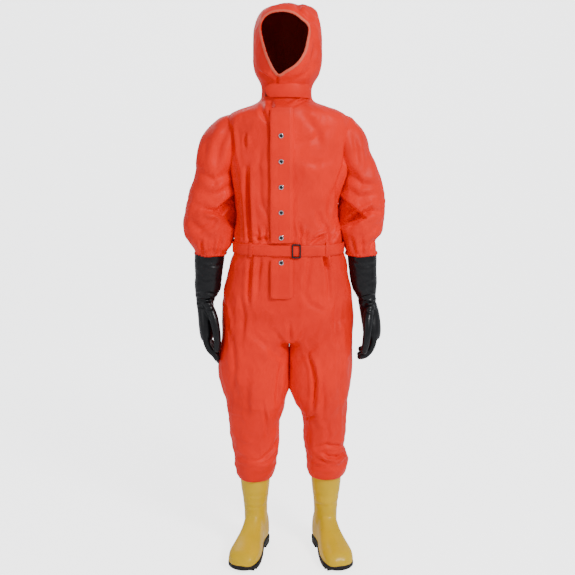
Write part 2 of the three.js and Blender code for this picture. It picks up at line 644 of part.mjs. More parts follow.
function makeBoot(limbs) {
  const placed = bootPlace(limbs);
  const ground = BOOT.heelHeight;
  const solePlate = (low, high, front) => {
    const plate = new THREE.ExtrudeGeometry(soleOutline(BOOT.soleLip), {
      depth: high - low, bevelEnabled: false, curveSegments: 6,
    });
    plate.translate(0, 0, low);
    return solidOf(plate).intersect(box([-FAR, front, 0], [FAR, FAR, FAR]));
  };
  const upper = bootSolid(0, ground, BOOT.shaftTop)
    .subtract(bootSolid(-BOOT.wall, ground + BOOT.wall, BOOT.shaftTop + 5))
    .subtract(box([-FAR, -FAR, -FAR], [FAR, FAR, ground + GAP]));
  add(`boot_upper_${limbs.name}`, placed(upper), BOOT_RUBBER());

  const underSole = ground - BOOT.soleThickness;
  const heelFront = BOOT.heelBack - BOOT.heelLength;
  const archAndHeel = box([-FAR, -BOOT.archStart, -1], [FAR, FAR, underSole]);
  add(`boot_sole_${limbs.name}`, placed(solePlate(0, ground, -FAR).subtract(archAndHeel)), SOLE_RUBBER());
  add(`boot_heel_${limbs.name}`, placed(solePlate(0, underSole - GAP, heelFront)), SOLE_RUBBER());
}

for (const limbs of SIDES) {
  makeArm(limbs);
  makeLeg(limbs);
  makeBoot(limbs);
}

// The origin goes under the middle of the whole suit.
const middle = new THREE.Box3().setFromObject(suit).getCenter(new THREE.Vector3());
suit.position.set(-middle.x, -middle.y, 0);

export default suit;
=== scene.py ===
import json
import math

import bmesh
import bpy
import numpy as np
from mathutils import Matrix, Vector, noise
from mathutils.bvhtree import BVHTree


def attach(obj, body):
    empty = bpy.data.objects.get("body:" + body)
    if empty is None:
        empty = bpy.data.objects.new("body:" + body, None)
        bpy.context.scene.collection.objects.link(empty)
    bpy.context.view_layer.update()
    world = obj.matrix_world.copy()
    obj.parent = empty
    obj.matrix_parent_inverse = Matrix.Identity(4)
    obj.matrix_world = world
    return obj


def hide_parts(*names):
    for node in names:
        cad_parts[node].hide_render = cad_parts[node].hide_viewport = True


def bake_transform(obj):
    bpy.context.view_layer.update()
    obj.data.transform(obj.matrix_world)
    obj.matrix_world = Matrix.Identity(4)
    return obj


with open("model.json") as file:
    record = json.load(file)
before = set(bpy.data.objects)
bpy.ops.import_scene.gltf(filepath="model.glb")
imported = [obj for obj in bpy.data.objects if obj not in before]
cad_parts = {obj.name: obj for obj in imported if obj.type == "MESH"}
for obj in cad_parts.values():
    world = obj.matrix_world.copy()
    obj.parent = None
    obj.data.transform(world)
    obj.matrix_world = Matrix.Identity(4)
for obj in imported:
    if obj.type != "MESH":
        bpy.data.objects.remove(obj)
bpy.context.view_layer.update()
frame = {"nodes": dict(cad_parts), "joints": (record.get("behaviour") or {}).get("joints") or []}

MM = 0.001
SIDES = (("right", -1), ("left", 1))

# ---------------------------------------------------------------- camera and stage
CAMERA_HEIGHT = 1.50
CAMERA_DISTANCE = 3.176
CAMERA_OFFSET = 0.0085
CAMERA_PITCH = math.radians(10.757)
CAMERA_ANGLE = math.radians(31.37)


def make_camera():
    data = bpy.data.cameras.new("camera")
    data.sensor_fit = "HORIZONTAL"
    data.angle = CAMERA_ANGLE
    camera = bpy.data.objects.new("camera", data)
    bpy.context.scene.collection.objects.link(camera)
    camera.location = (CAMERA_OFFSET, -CAMERA_DISTANCE, CAMERA_HEIGHT)
    camera.rotation_euler = (math.pi / 2 - CAMERA_PITCH, 0, 0)
    bpy.context.scene.camera = camera


def make_light(name, location, size, power, target=(0, 0, 0.95)):
    data = bpy.data.lights.new(name, "AREA")
    data.shape = "RECTANGLE"
    data.size, data.size_y = size
    data.energy = power
    light = bpy.data.objects.new(name, data)
    light.location = location
    light.rotation_euler = (Vector(target) - Vector(location)).to_track_quat("-Z", "Y").to_euler()
    bpy.context.scene.collection.objects.link(light)


def make_stage():
    world = bpy.data.worlds.new("studio")
    world.use_nodes = True
    background = world.node_tree.nodes["Background"]
    background.inputs["Color"].default_value = (0.93, 0.95, 1.0, 1)
    seen = world.node_tree.nodes.new("ShaderNodeLightPath")
    level = world.node_tree.nodes.new("ShaderNodeMath")
    level.operation = "MULTIPLY_ADD"
    level.inputs[1].default_value = 2.6
    level.inputs[2].default_value = 0.60
    world.node_tree.links.new(seen.outputs["Is Camera Ray"], level.inputs[0])
    world.node_tree.links.new(level.outputs[0], background.inputs["Strength"])
    bpy.context.scene.world = world
    make_light("key", (1.9, -2.6, 3.0), (0.8, 0.8), 104)
    make_light("fill", (-2.6, -2.2, 1.7), (1.6, 1.6), 12)
    make_light("rim", (-1.2, 2.4, 2.6), (1.4, 1.4), 14)
    make_light("backdrop", (0, 2.2, 3.6), (3.0, 1.0), 24, (0, 4.6, 1.4))
    mesh = bpy.data.meshes.new("floor")
    reach, bend, rise = 7.0, 3.2, 6.0
    rows = [(-reach, 0.0)]
    for step in range(13):
        turn = step / 12 * math.pi / 2
        rows.append((bend + math.sin(turn) * 1.5, 1.5 - math.cos(turn) * 1.5))
    rows.append((bend + 1.5, rise))
    vertices = [(x, y, z) for y, z in rows for x in (-reach, reach)]
    faces = [(2 * i, 2 * i + 1, 2 * i + 3, 2 * i + 2) for i in range(len(rows) - 1)]
    mesh.from_pydata(vertices, [], faces)
    mesh.polygons.foreach_set("use_smooth", [True] * len(mesh.polygons))
    floor = bpy.data.objects.new("floor", mesh)
    bpy.context.scene.collection.objects.link(floor)
    material = bpy.data.materials.new("stage_paper")
    material.use_nodes = True
    shader = material.node_tree.nodes["Principled BSDF"]
    shader.inputs["Base Color"].default_value = (0.94, 0.945, 0.955, 1)
    shader.inputs["Roughness"].default_value = 0.9
    rays = material.node_tree.nodes.new("ShaderNodeLightPath")
    glow = material.node_tree.nodes.new("ShaderNodeMath")
    glow.operation = "MULTIPLY"
    glow.inputs[1].default_value = 2.6
    shader.inputs["Emission Color"].default_value = (1, 1, 1, 1)
    material.node_tree.links.new(rays.outputs["Is Camera Ray"], glow.inputs[0])
    material.node_tree.links.new(glow.outputs[0], shader.inputs["Emission Strength"])
    mesh.materials.append(material)


make_camera()
make_stage()


# ---------------------------------------------------------------- materials
class Nodes:
    """A short way to wire a material's nodes."""

    def __init__(self, name):
        self.material = bpy.data.materials.new(name)
        self.material.use_nodes = True
        self.tree = self.material.node_tree
        self.shader = self.tree.nodes["Principled BSDF"]
        self.place = self.tree.nodes.new("ShaderNodeTexCoord").outputs["Object"]

    def add(self, kind, **values):
        node = self.tree.nodes.new(kind)
        for key, value in values.items():
            setattr(node, key, value)
        return node

    def link(self, source, target):
        self.tree.links.new(source, target)

    def scaled(self, scale):
        node = self.add("ShaderNodeMapping")
        node.inputs["Scale"].default_value = scale if isinstance(scale, tuple) else (scale,) * 3
        self.link(self.place, node.inputs["Vector"])
        return node.outputs["Vector"]

    def noise(self, scale, detail=4.0, rough=0.55, stretch=(1, 1, 1), distortion=0.0):
        node = self.add("ShaderNodeTexNoise")
        node.inputs["Scale"].default_value = scale
        node.inputs["Detail"].default_value = detail
        node.inputs["Roughness"].default_value = rough
        node.inputs["Distortion"].default_value = distortion
        self.link(self.scaled(stretch), node.inputs["Vector"])
        return node.outputs["Fac"]

    def wave(self, scale, direction="X", distortion=0.0):
        node = self.add("ShaderNodeTexWave", bands_direction=direction)
        node.inputs["Scale"].default_value = scale
        node.inputs["Distortion"].default_value = distortion
        self.link(self.place, node.inputs["Vector"])
        return node.outputs["Fac"]

    def ramp(self, source, stops):
        node = self.add("ShaderNodeValToRGB")
        ramp = node.color_ramp
        for i, (at, colour) in enumerate(stops):
            element = ramp.elements[i] if i < 2 else ramp.elements.new(at)
            element.position = at
            element.color = (*colour, 1) if isinstance(colour, tuple) else (colour,) * 3 + (1,)
        self.link(source, node.inputs["Fac"])
        return node.outputs["Color"]

    def mix(self, factor, a, b):
        node = self.add("ShaderNodeMix", data_type="RGBA")
        for socket, value in ((node.inputs["Factor"], factor), (node.inputs[6], a), (node.inputs[7], b)):
            if isinstance(value, bpy.types.NodeSocket):
                self.link(value, socket)
            elif isinstance(value, tuple):
                socket.default_value = (*value, 1)
            else:
                socket.default_value = value
        return node.outputs[2]

    def math(self, operation, a, b=0.0):
        node = self.add("ShaderNodeMath", operation=operation)
        for socket, value in zip(node.inputs, (a, b)):
            if isinstance(value, bpy.types.NodeSocket):
                self.link(value, socket)
            else:
                socket.default_value = value
        return node.outputs[0]

    def bump(self, height, distance, strength=1.0, below=None):
        node = self.add("ShaderNodeBump")
        node.inputs["Distance"].default_value = distance
        node.inputs["Strength"].default_value = strength
        self.link(height, node.inputs["Height"])
        if below is not None:
            self.link(below, node.inputs["Normal"])
        return node.outputs["Normal"]

    def finish(self, colour=None, rough=None, normal=None, **constants):
        if isinstance(colour, tuple):
            self.shader.inputs["Base Color"].default_value = (*colour, 1)
        elif colour is not None:
            self.link(colour, self.shader.inputs["Base Color"])
        if isinstance(rough, float):
            self.shader.inputs["Roughness"].default_value = rough
        elif rough is not None:
            self.link(rough, self.shader.inputs["Roughness"])
        if normal is not None:
            self.link(normal, self.shader.inputs["Normal"])
        for key, value in constants.items():
            self.shader.inputs[key.replace("_", " ")].default_value = value
        return self.material


def coated_fabric(name, colour, rough=0.50, weave=0.00012, crumple=0.0014):
    """Woven fabric under a satin coating: fine weave, soft crumples and slight colour drift."""
    n = Nodes(name)
    drift = n.noise(9.0, 3.0)
    dark = tuple(0.86 * c for c in colour)
    light = tuple(min(1.0, 1.06 * c) for c in colour)
    tint = n.ramp(drift, [(0.3, dark), (0.7, light)])
    rub = n.noise(140.0, 6.0, 0.6)
    worn = tuple(min(1, c * 1.1 + 0.008) for c in colour)
    tint = n.mix(n.ramp(rub, [(0.62, 0.0), (0.78, 0.16)]), tint, worn)
    crease = n.noise(16.0, 5.0, 0.62, stretch=(1, 1, 0.7), distortion=0.6)
    soft = n.bump(crease, crumple, 0.8)
    threads = n.math("MULTIPLY", n.wave(260.0, "X"), n.wave(260.0, "Z"))
    fine = n.bump(threads, weave, 0.6, below=soft)
    finish = n.ramp(n.noise(34.0, 5.0), [(0.25, rough - 0.07), (0.75, rough + 0.09)])
    return n.finish(tint, finish, fine, Specular_IOR_Level=0.16, Coat_Weight=0.02, Coat_Roughness=0.3)


def smooth_rubber(name, colour, rough, coat, grain=0.00025, speckle=0.0):
    n = Nodes(name)
    cloud = n.noise(14.0, 4.0)
    dark = tuple(0.82 * c for c in colour)
    tint = n.ramp(cloud, [(0.25, dark), (0.75, colour)])
    if speckle:
        scuff = n.ramp(n.noise(55.0, 8.0, 0.7), [(0.6, 0.0), (0.75, speckle)])
        tint = n.mix(scuff, tint, tuple(0.55 * c for c in colour))
    surface = n.bump(n.noise(420.0, 3.0), grain, 0.5)
    broad = n.bump(n.noise(22.0, 3.0), 0.0012, 0.5, below=surface)
    finish = n.ramp(n.noise(60.0, 6.0), [(0.3, rough - 0.05), (0.8, rough + 0.1)])
    return n.finish(tint, finish, broad, Specular_IOR_Level=0.25, Coat_Weight=coat, Coat_Roughness=0.12)


def metal(name, colour, rough):
    n = Nodes(name)
    scratches = n.noise(500.0, 6.0, 0.7, stretch=(1, 1, 0.15))
    finish = n.ramp(scratches, [(0.3, rough), (0.8, rough + 0.16)])
    tint = n.ramp(n.noise(90.0, 3.0), [(0.3, tuple(0.88 * c for c in colour)), (0.7, colour)])
    return n.finish(tint, finish, n.bump(scratches, 0.00006, 0.4), Metallic=1.0)


SUIT_RED = (0.93, 0.012, 0.001)
M_FABRIC = coated_fabric("suit_fabric", SUIT_RED)
M_TRIM = coated_fabric("trim_fabric", (0.90, 0.011, 0.001), rough=0.5, weave=0.0003, crumple=0.0006)
# the hood's inner surface: a darker copy of the suit fabric, painted shade for the inside of the hood seen through
# the face opening
M_HOOD_INSIDE_SHADE = coated_fabric("hood_inside_painted_shade", (0.30, 0.014, 0.006), rough=0.75, crumple=0.002)
M_EDGING = coated_fabric("face_binding", (0.80, 0.12, 0.07), rough=0.6, weave=0.0003, crumple=0.0004)
M_TAPE = coated_fabric("zip_tape", (0.30, 0.03, 0.018), rough=0.8, weave=0.0004, crumple=0.0003)
M_GLOVE = smooth_rubber("glove_rubber", (0.005, 0.005, 0.006), 0.36, 0.10)
M_BOOT = smooth_rubber("boot_rubber", (0.80, 0.50, 0.0), 0.32, 0.04, speckle=0.10)
M_SOLE = smooth_rubber("sole_rubber", (0.012, 0.012, 0.014), 0.55, 0.0, grain=0.0005)
M_NICKEL = metal("snap_nickel", (0.62, 0.62, 0.64), 0.12)
M_ZIP = metal("zip_metal", (0.62, 0.62, 0.64), 0.24)
# dark plastic of the buckle, also used for the painted reflection disc in the middle of each snap dome
M_DARK_PLASTIC_AND_REFLECTION = smooth_rubber("buckle_plastic", (0.013, 0.013, 0.015), 0.25, 0.3)
M_THREAD = coated_fabric("sewing_thread", (0.60, 0.045, 0.02), rough=0.7, weave=0.0001, crumple=0.0)


# ---------------------------------------------------------------- sizes, in millimetres of the design frame
NECK_JOINT = next(j for j in frame["joints"] if j["name"] == "hood_turn")["pos_m"]
SHIFT = Vector((NECK_JOINT[0] / MM + 8, NECK_JOINT[1] / MM - 8, 0))
BELT_LOW, BELT_HIGH = 1010, 1045
FLAP_FREE, FLAP_SEAM, FLAP_TOP, FLAP_HEM = -57, 12, 1459, 880
SNAP_X, SNAP_TOP, SNAP_PITCH = -24, 1375, 76.6
FACE_X, FACE_Z = -14, 1650
TAB_LEFT, TAB_RIGHT, TAB_LOW, TAB_HIGH = 62, -80, 1486, 1528
TAB_HINGE_REACH = 22
FLAP_ABOVE_BELT, FLAP_BELOW_BELT = 1052, 1003
CHEST_TOP = 1455
NECK_X, NECK_Y = -8, 8

# height, right edge, left edge, front, back, squareness
TRUNK = [
    (728, -212, 204, -88, 92, 2.2),
    (780, -217, 206, -110, 116, 2.3),
    (838, -213, 204, -119, 126, 2.4),
    (896, -205, 196, -119, 124, 2.5),
    (950, -194, 184, -118, 118, 2.5),
    (981, -187, 180, -118, 112, 2.5),
    (1010, -174, 170, -117, 104, 2.6),
    (1045, -174, 168, -117, 104, 2.6),
    (1075, -170, 163, -118, 110, 2.6),
    (1110, -164, 155, -118, 112, 2.6),
    (1165, -167, 153, -118, 112, 2.5),
    (1209, -175, 164, -118, 113, 2.5),
    (1263, -184, 182, -118, 114, 2.5),
    (1320, -188, 190, -118, 114, 2.5),
    (1375, -192, 192, -118, 110, 2.5),
    (1405, -194, 192, -118, 102, 2.5),
    (1425, -192, 184, -118, 96, 2.5),
    (1440, -178, 166, -117, 92, 2.4),
    (1452, -150, 142, -114, 90, 2.3),
    (1463, -112, 104, -104, 89, 2.2),
    (1475, -90, 76, -76, 88, 2.0),
]
# height, right edge, left edge, middle in y, half depth
HOOD = [
    (1462, -84, 68, 8, 76),
    (1490, -85, 69, 8, 76),
    (1515, -85, 70, 8, 77),
    (1532, -90, 78, 8, 88),
    (1552, -102, 92, 6, 103),
    (1580, -110, 101, 5, 114),
    (1610, -111, 103, 6, 120),
    (1643, -111, 101, 8, 121),
    (1680, -109, 98, 10, 119),
    (1710, -104, 95, 12, 112),
    (1735, -94, 89, 14, 100),
    (1752, -80, 80, 15, 84),
    (1763, -54, 52, 16, 58),
    (1769, -24, 24, 16, 26),
]
LEGS = {
    "right": [
        (790, -214, -14, 2, 106), (720, -219, -8, 1, 108), (691, -223, -7, 0, 107), (637, -229, -7, 0, 105),
        (554, -213, -7, 0, 100), (536, -207, -9, 0, 99), (512, -204, -12, 1, 97), (480, -200, -21, 3, 92),
        (445, -197, -31, 5, 88), (420, -195, -31, 8, 85), (359, -187, -33, 12, 81), (318, -182, -38, 15, 78),
        (290, -179, -43, 17, 75), (272, -176, -48, 19, 71), (260, -172, -52, 20, 67),
        (249, -167, -57, 20, 62),
    ],
    "left": [
        (790, 14, 206, 2, 105), (720, 10, 206, 1, 106), (691, 9, 206, 0, 105), (637, 9, 206, 0, 103),
        (554, 8, 197, 0, 98), (536, 11, 193, 0, 97), (512, 20, 190, 1, 95), (480, 40, 188, 3, 90),
        (445, 45, 188, 5, 86), (405, 45, 187, 8, 83), (378, 47, 183, 10, 81), (362, 50, 180, 12, 79),
        (345, 54, 190, 13, 81), (314, 55, 195, 16, 80), (294, 56, 194, 18, 77), (280, 58, 192, 19, 72),
        (268, 62, 186, 20, 67), (257, 67, 179, 20, 62),
    ],
}
# height, outer edge, inner edge (measured away from the middle), middle in y, half depth
SLEEVES = {
    "right": [
        (1436, 178, 150, 6, 16), (1430, 204, 142, 6, 38), (1418, 224, 132, 6, 56), (1400, 244, 126, 6, 68),
        (1382, 260, 126, 5, 75), (1355, 275, 130, 5, 79), (1329, 284, 140, 5, 80), (1292, 290, 160, 4, 79),
        (1263, 290, 175, 4, 77), (1235, 297, 175, 3, 75), (1197, 312, 169, 2, 73), (1165, 320, 165, 1, 70),
        (1136, 327, 162, 0, 71), (1084, 332, 165, 0, 70), (1050, 324, 173, 0, 67), (1030, 309, 180, 0, 62),
        (1014, 300, 192, 0, 55), (1004, 297, 199, 0, 50),
    ],
    "left": [
        (1436, 160, 138, 6, 16), (1429, 188, 130, 6, 38), (1416, 203, 122, 6, 56), (1400, 217, 118, 6, 67),
        (1382, 232, 118, 5, 74), (1355, 244, 124, 5, 78), (1323, 251, 138, 5, 79), (1290, 266, 160, 4, 78),
        (1263, 277, 173, 4, 76), (1235, 287, 170, 3, 74), (1209, 294, 162, 2, 72), (1155, 302, 151, 1, 70),
        (1136, 302, 151, 0, 71), (1103, 299, 153, 0, 70), (1068, 289, 162, 0, 67), (1042, 270, 172, 0, 60),
        (1024, 273, 175, 0, 56), (1004, 275, 181, 0, 49),
    ],
}


def at(x, y, z):
    return Vector(((x + SHIFT.x) * MM, (y + SHIFT.y) * MM, z * MM))


def place(points):
    """Design millimetres to metres in the shared frame."""
    return (np.asarray(points, float) + np.array(SHIFT)) * MM


def design(points):
    return np.asarray(points, float) / MM - np.array(SHIFT)


def resample(rows, step):
    """Rows of numbers led by a height, smoothly filled in."""
    rows = np.array(sorted(rows), float)
    z = rows[:, 0]
    count = max(2, int(round((z[-1] - z[0]) / step)))
    wanted = np.linspace(z[0], z[-1], count + 1)
    slope = np.gradient(rows[:, 1:], z, axis=0)
    span = np.clip(np.searchsorted(z, wanted, side="right") - 1, 0, len(z) - 2)
    h = (z[span + 1] - z[span])[:, None]
    t = ((wanted - z[span]) / (z[span + 1] - z[span]))[:, None]
    a, b = rows[span, 1:], rows[span + 1, 1:]
    value = (
        (2 * t**3 - 3 * t**2 + 1) * a + (t**3 - 2 * t**2 + t) * h * slope[span]
        + (3 * t**2 - 2 * t**3) * b + (t**3 - t**2) * h * slope[span + 1]
    )
    return np.column_stack([wanted, value])


TRUNK_ROWS = resample(TRUNK, 4)


def trunk_front(x, z, out=0.0):
    """y of the chest or belly, out millimetres clear of it."""
    low, high, front, back, power = (np.interp(z, TRUNK_ROWS[:, 0], TRUNK_ROWS[:, i]) for i in range(1, 6))
    share = np.clip(abs(x - (low + high) / 2) / ((high - low) / 2 + out), 0, 0.999)
    middle = (front + back) / 2
    return middle - ((back - front) / 2 + out) * (1 - share**power) ** (1 / power)


# ---------------------------------------------------------------- mesh helpers
def new_object(name, mesh):
    piece = bpy.data.objects.new(name, mesh)
    bpy.context.scene.collection.objects.link(piece)
    return piece


def smooth(piece):
    piece.data.polygons.foreach_set("use_smooth", [True] * len(piece.data.polygons))


def mesh_object(name, vertices, faces, material=None):
    mesh = bpy.data.meshes.new(name)
    mesh.from_pydata([tuple(v) for v in vertices], [], faces)
    mesh.update()
    piece = new_object(name, mesh)
    smooth(piece)
    if material is not None:
        mesh.materials.append(material)
    return piece


def stack_rings(name, rings, closed=True, material=None):
    """A skin through a stack of equal rings of points."""
    count = len(rings[0])
    vertices = [p for ring in rings for p in ring]
    faces = []
    for row in range(len(rings) - 1):
        for i in range(count):
            j = (i + 1) % count
            faces.append((row * count + i, row * count + j, (row + 1) * count + j, (row + 1) * count + i))
    if closed:
        faces.append(tuple(reversed(range(count))))
        faces.append(tuple((len(rings) - 1) * count + i for i in range(count)))
    return mesh_object(name, vertices, faces, material)


def oval(cx, cy, z, rx, ry, count=64, power=2.0):
    turns = np.linspace(0, 2 * math.pi, count, endpoint=False)
    c, s = np.cos(turns), np.sin(turns)
    bend = 2 / power
    return np.stack([
        cx + rx * np.sign(c) * np.abs(c) ** bend,
        cy + ry * np.sign(s) * np.abs(s) ** bend,
        np.full(count, z),
    ], 1)


def coords(piece):
    out = np.empty(len(piece.data.vertices) * 3)
    piece.data.vertices.foreach_get("co", out)
    return out.reshape(-1, 3)


def normals(piece):
    out = np.empty(len(piece.data.vertices) * 3)
    piece.data.vertices.foreach_get("normal", out)
    return out.reshape(-1, 3)


def set_coords(piece, points):
    piece.data.vertices.foreach_set("co", np.ascontiguousarray(points).ravel())
    piece.data.update()


def apply_modifiers(piece):
    graph = bpy.context.evaluated_depsgraph_get()
    graph.update()
    mesh = bpy.data.meshes.new_from_object(piece.evaluated_get(graph))
    piece.modifiers.clear()
    old = piece.data
    piece.data = mesh
    bpy.data.meshes.remove(old)
    return piece


def join_remesh(name, pieces, voxel):
    """One skin round overlapping closed pieces."""
    mesh = bpy.data.meshes.new(name)
    work = bmesh.new()
    for piece in pieces:
        work.from_mesh(piece.data)
    work.to_mesh(mesh)
    work.free()
    for piece in pieces:
        bpy.data.objects.remove(piece, do_unlink=True)
    out = new_object(name, mesh)
    remesh = out.modifiers.new("remesh", "REMESH")
    remesh.mode = "VOXEL"
    remesh.voxel_size = voxel
    remesh.use_smooth_shade = True
    return apply_modifiers(out)


def relax(piece, rounds, factor=0.5):
    modifier = piece.modifiers.new("relax", "SMOOTH")
    modifier.factor = factor
    modifier.iterations = rounds
    return apply_modifiers(piece)


def subdivide(piece, levels=1):
    modifier = piece.modifiers.new("subdivision", "SUBSURF")
    modifier.levels = modifier.render_levels = levels
    return apply_modifiers(piece)


def trim(piece, keep):
    """Deletes the faces whose centre keep() refuses."""
    work = bmesh.new()
    work.from_mesh(piece.data)
    gone = [f for f in work.faces if not keep(f.calc_center_median())]
    bmesh.ops.delete(work, geom=gone, context="FACES")
    work.to_mesh(piece.data)
    work.free()
    return piece


def thicken(piece, thickness):
    modifier = piece.modifiers.new("thickness", "SOLIDIFY")
    modifier.thickness = thickness
    modifier.offset = -1
    modifier.use_rim = True
    return apply_modifiers(piece)


def loft_from(name, rows, step, count, squareness=2.15):
    """A closed skin through rows of height, two x edges, and middle and half depth.
    A row of six has front, back and squareness instead of the last two."""
    rings = []
    for row in resample(rows, step):
        z, a, b = row[:3]
        if len(row) == 6:
            middle, depth, power = (row[3] + row[4]) / 2, (row[4] - row[3]) / 2, row[5]
        else:
            middle, depth, power = row[3], row[4], squareness
        rings.append(place(oval((a + b) / 2, middle, z, abs(b - a) / 2, depth, count, power)))
    return stack_rings(name, rings)


# ---------------------------------------------------------------- folds
# A fold is its face, front (-1) or back (1), then a path of x and z, its depth and its width,
# and how far its far side stands up.
TRUNK_FOLDS = [
    (-1, [(-128, 1275), (-125, 1180), (-122, 1090), (-120, 1047)], 20, 6.5, 0.5),
    (-1, [(-118, 1008), (-121, 940), (-126, 870)], 14, 6.5, 0.5),
    (-1, [(-148, 1200), (-145, 1150), (-142, 1060)], 6, 5, 0.4),
    (-1, [(-104, 1072), (-84, 1060), (-62, 1070)], 8, 5, 0.8),
    (-1, [(-98, 1100), (-92, 1074), (-94, 1050)], 6, 5, 0.7),
    (-1, [(-70, 1096), (-74, 1070), (-68, 1050)], 6, 5, 0.7),
    (-1, [(30, 1050), (36, 1074), (30, 1112)], 8, 4.5, 0.6),
    (-1, [(50, 1050), (48, 1066), (56, 1086)], 6, 4.5, 0.6),
    (-1, [(66, 1050), (92, 1068), (114, 1074)], 10, 5, 0.8),
    (-1, [(114, 1050), (122, 1070), (118, 1096)], 9, 4.5, 0.7),
    (-1, [(130, 1050), (142, 1068), (150, 1090)], 10, 4.5, 0.7),
    (-1, [(84, 1150), (100, 1110), (128, 1082)], 6, 8, 0.5),
    (-1, [(110, 1010), (112, 992), (117, 972)], 24, 5.0, 0.4),
    (-1, [(116, 975), (122, 930), (124, 880)], 6, 6, 0.4),
    (-1, [(64, 1008), (58, 960), (50, 905)], 5, 7, 0.4),
    (-1, [(-88, 1008), (-94, 965), (-98, 905)], 5, 7, 0.4),
    (-1, [(-176, 1392), (-170, 1350), (-166, 1300)], 16, 6, 0.5),
    (-1, [(-132, 1378), (-132, 1344)], 9, 4.5, 0.5),
        (-1, [(-166, 1302), (-158, 1240), (-156, 1190)], 8, 7, 0.4),
    (-1, [(182, 1380), (174, 1340), (170, 1290)], 14, 6, 0.5),
    (-1, [(170, 1292), (156, 1240), (148, 1190), (150, 1150)], 9, 7, 0.5),
    (-1, [(152, 1240), (128, 1190), (120, 1130)], 5, 8, 0.4),
    (-1, [(-44, 1440), (-52, 1380), (-46, 1330)], 5, 7, 0.4),
    (-1, [(-84, 1470), (-78, 1440), (-62, 1412)], 9, 7, 0.5),
    (-1, [(-58, 1478), (-54, 1462), (-50, 1448)], 12, 8, 0.2),
    (-1, [(6, 1462), (26, 1470), (48, 1480)], 9, 3.8, 0.5),
    (-1, [(40, 1440), (80, 1392), (92, 1350)], 5, 12, 0.4),
    (-1, [(30, 1350), (70, 1362), (110, 1390)], 4, 10, 0.4),
    (-1, [(120, 1300), (80, 1290), (40, 1300)], 3, 10, 0.4),
    (-1, [(-84, 1340), (-92, 1290), (-86, 1220)], 4, 8, 0.4),
    (-1, [(-60, 1130), (-84, 1170), (-92, 1230)], 5, 8, 0.4),
    (-1, [(-50, 780), (-22, 734), (-6, 700)], 3.5, 8, 0.4),
    (-1, [(56, 780), (26, 734), (10, 700)], 3.5, 8, 0.4),
    (-1, [(0, 800), (3, 770), (2, 738)], 6, 5.5, 0.4),
    (-1, [(-120, 770), (-66, 722), (-16, 668)], 5, 10, 0.4),
    (-1, [(124, 770), (70, 716), (20, 664)], 5, 10, 0.4),
    (-1, [(40, 900), (66, 860), (112, 836)], 4, 9, 0.4),
    (-1, [(-150, 880), (-140, 820), (-146, 750)], 6, 8, 0.4),
    (-1, [(150, 880), (142, 800), (150, 720)], 6, 8, 0.4),
    (-1, [(62, 690), (76, 655), (82, 612), (80, 560), (76, 515)], 15, 6, 0.7),
    (-1, [(104, 600), (110, 540), (106, 490)], 5, 7, 0.5),
    (-1, [(44, 470), (58, 476), (78, 490)], 7, 5, 0.6),
    (-1, [(-26, 650), (-34, 590), (-38, 530)], 7, 6, 0.5),
    (-1, [(-84, 540), (-74, 480), (-72, 420)], 6, 5, 0.5),
    (-1, [(-128, 640), (-134, 560), (-130, 480)], 4, 9, 0.4),
    (-1, [(-180, 760), (-172, 680), (-176, 590)], 6, 9, 0.4),
    (-1, [(168, 700), (162, 620), (164, 520)], 6, 9, 0.4),
    (-1, [(-36, 400), (-50, 366), (-84, 340), (-120, 334)], 8, 7, 0.6),
    (-1, [(-42, 352), (-62, 330), (-100, 322)], 5, 5, 0.6),
    (-1, [(190, 372), (164, 380), (120, 392), (90, 380)], 7, 6, 0.7),
    (-1, [(192, 354), (160, 346), (126, 350), (112, 362)], 9, 5.5, 0.8),
    (-1, [(90, 342), (130, 330), (168, 346)], 6, 6, 0.7),
    (-1, [(84, 308), (120, 322), (150, 316)], 5, 6, 0.6),
    (-1, [(120, 470), (126, 430), (120, 400)], 4, 7, 0.5),
    (-1, [(20, 1764), (32, 1738), (58, 1716), (84, 1704)], 6, 6, 0.5),
    (-1, [(-34, 1548), (-36, 1536), (-36, 1524)], 7, 3.5, 0.3),
    (-1, [(-88, 1560), (-66, 1546), (-50, 1532)], 9, 5, 0.5),
    (-1, [(40, 1560), (66, 1590), (84, 1640)], 5, 8, 0.5),
    (-1, [(20, 1540), (50, 1556), (80, 1590)], 5, 7, 0.5),
    (-1, [(66, 1700), (78, 1640), (70, 1590)], 4, 7, 0.5),
    (1, [(-120, 1290), (-112, 1180), (-106, 1050)], 8, 10, 0.5),
    (1, [(104, 1290), (112, 1180), (120, 1050)], 8, 10, 0.5),
    (1, [(-60, 1048), (-50, 1080), (-10, 1088), (30, 1052)], 9, 8, 0.8),
    (1, [(-150, 1060), (-110, 1076), (-80, 1050)], 8, 8, 0.8),
    (1, [(70, 1052), (110, 1080), (150, 1064)], 8, 8, 0.8),
    (1, [(-70, 1420), (-20, 1396), (50, 1420)], 5, 14, 0.4),
    (1, [(-110, 760), (-60, 716), (-8, 700)], 8, 12, 0.5),
    (1, [(118, 760), (66, 716), (10, 700)], 8, 12, 0.5),
    (1, [(-180, 540), (-110, 522), (-40, 545)], 9, 11, 0.6),
    (1, [(40, 545), (110, 522), (176, 540)], 9, 11, 0.6),
    (1, [(-170, 486), (-110, 476), (-50, 492)], 6, 10, 0.6),
    (1, [(60, 492), (110, 474), (170, 486)], 6, 10, 0.6),
    (1, [(-150, 340), (-110, 326), (-70, 344)], 6, 9, 0.6),
    (1, [(80, 340), (120, 324), (165, 344)], 6, 9, 0.6),
]
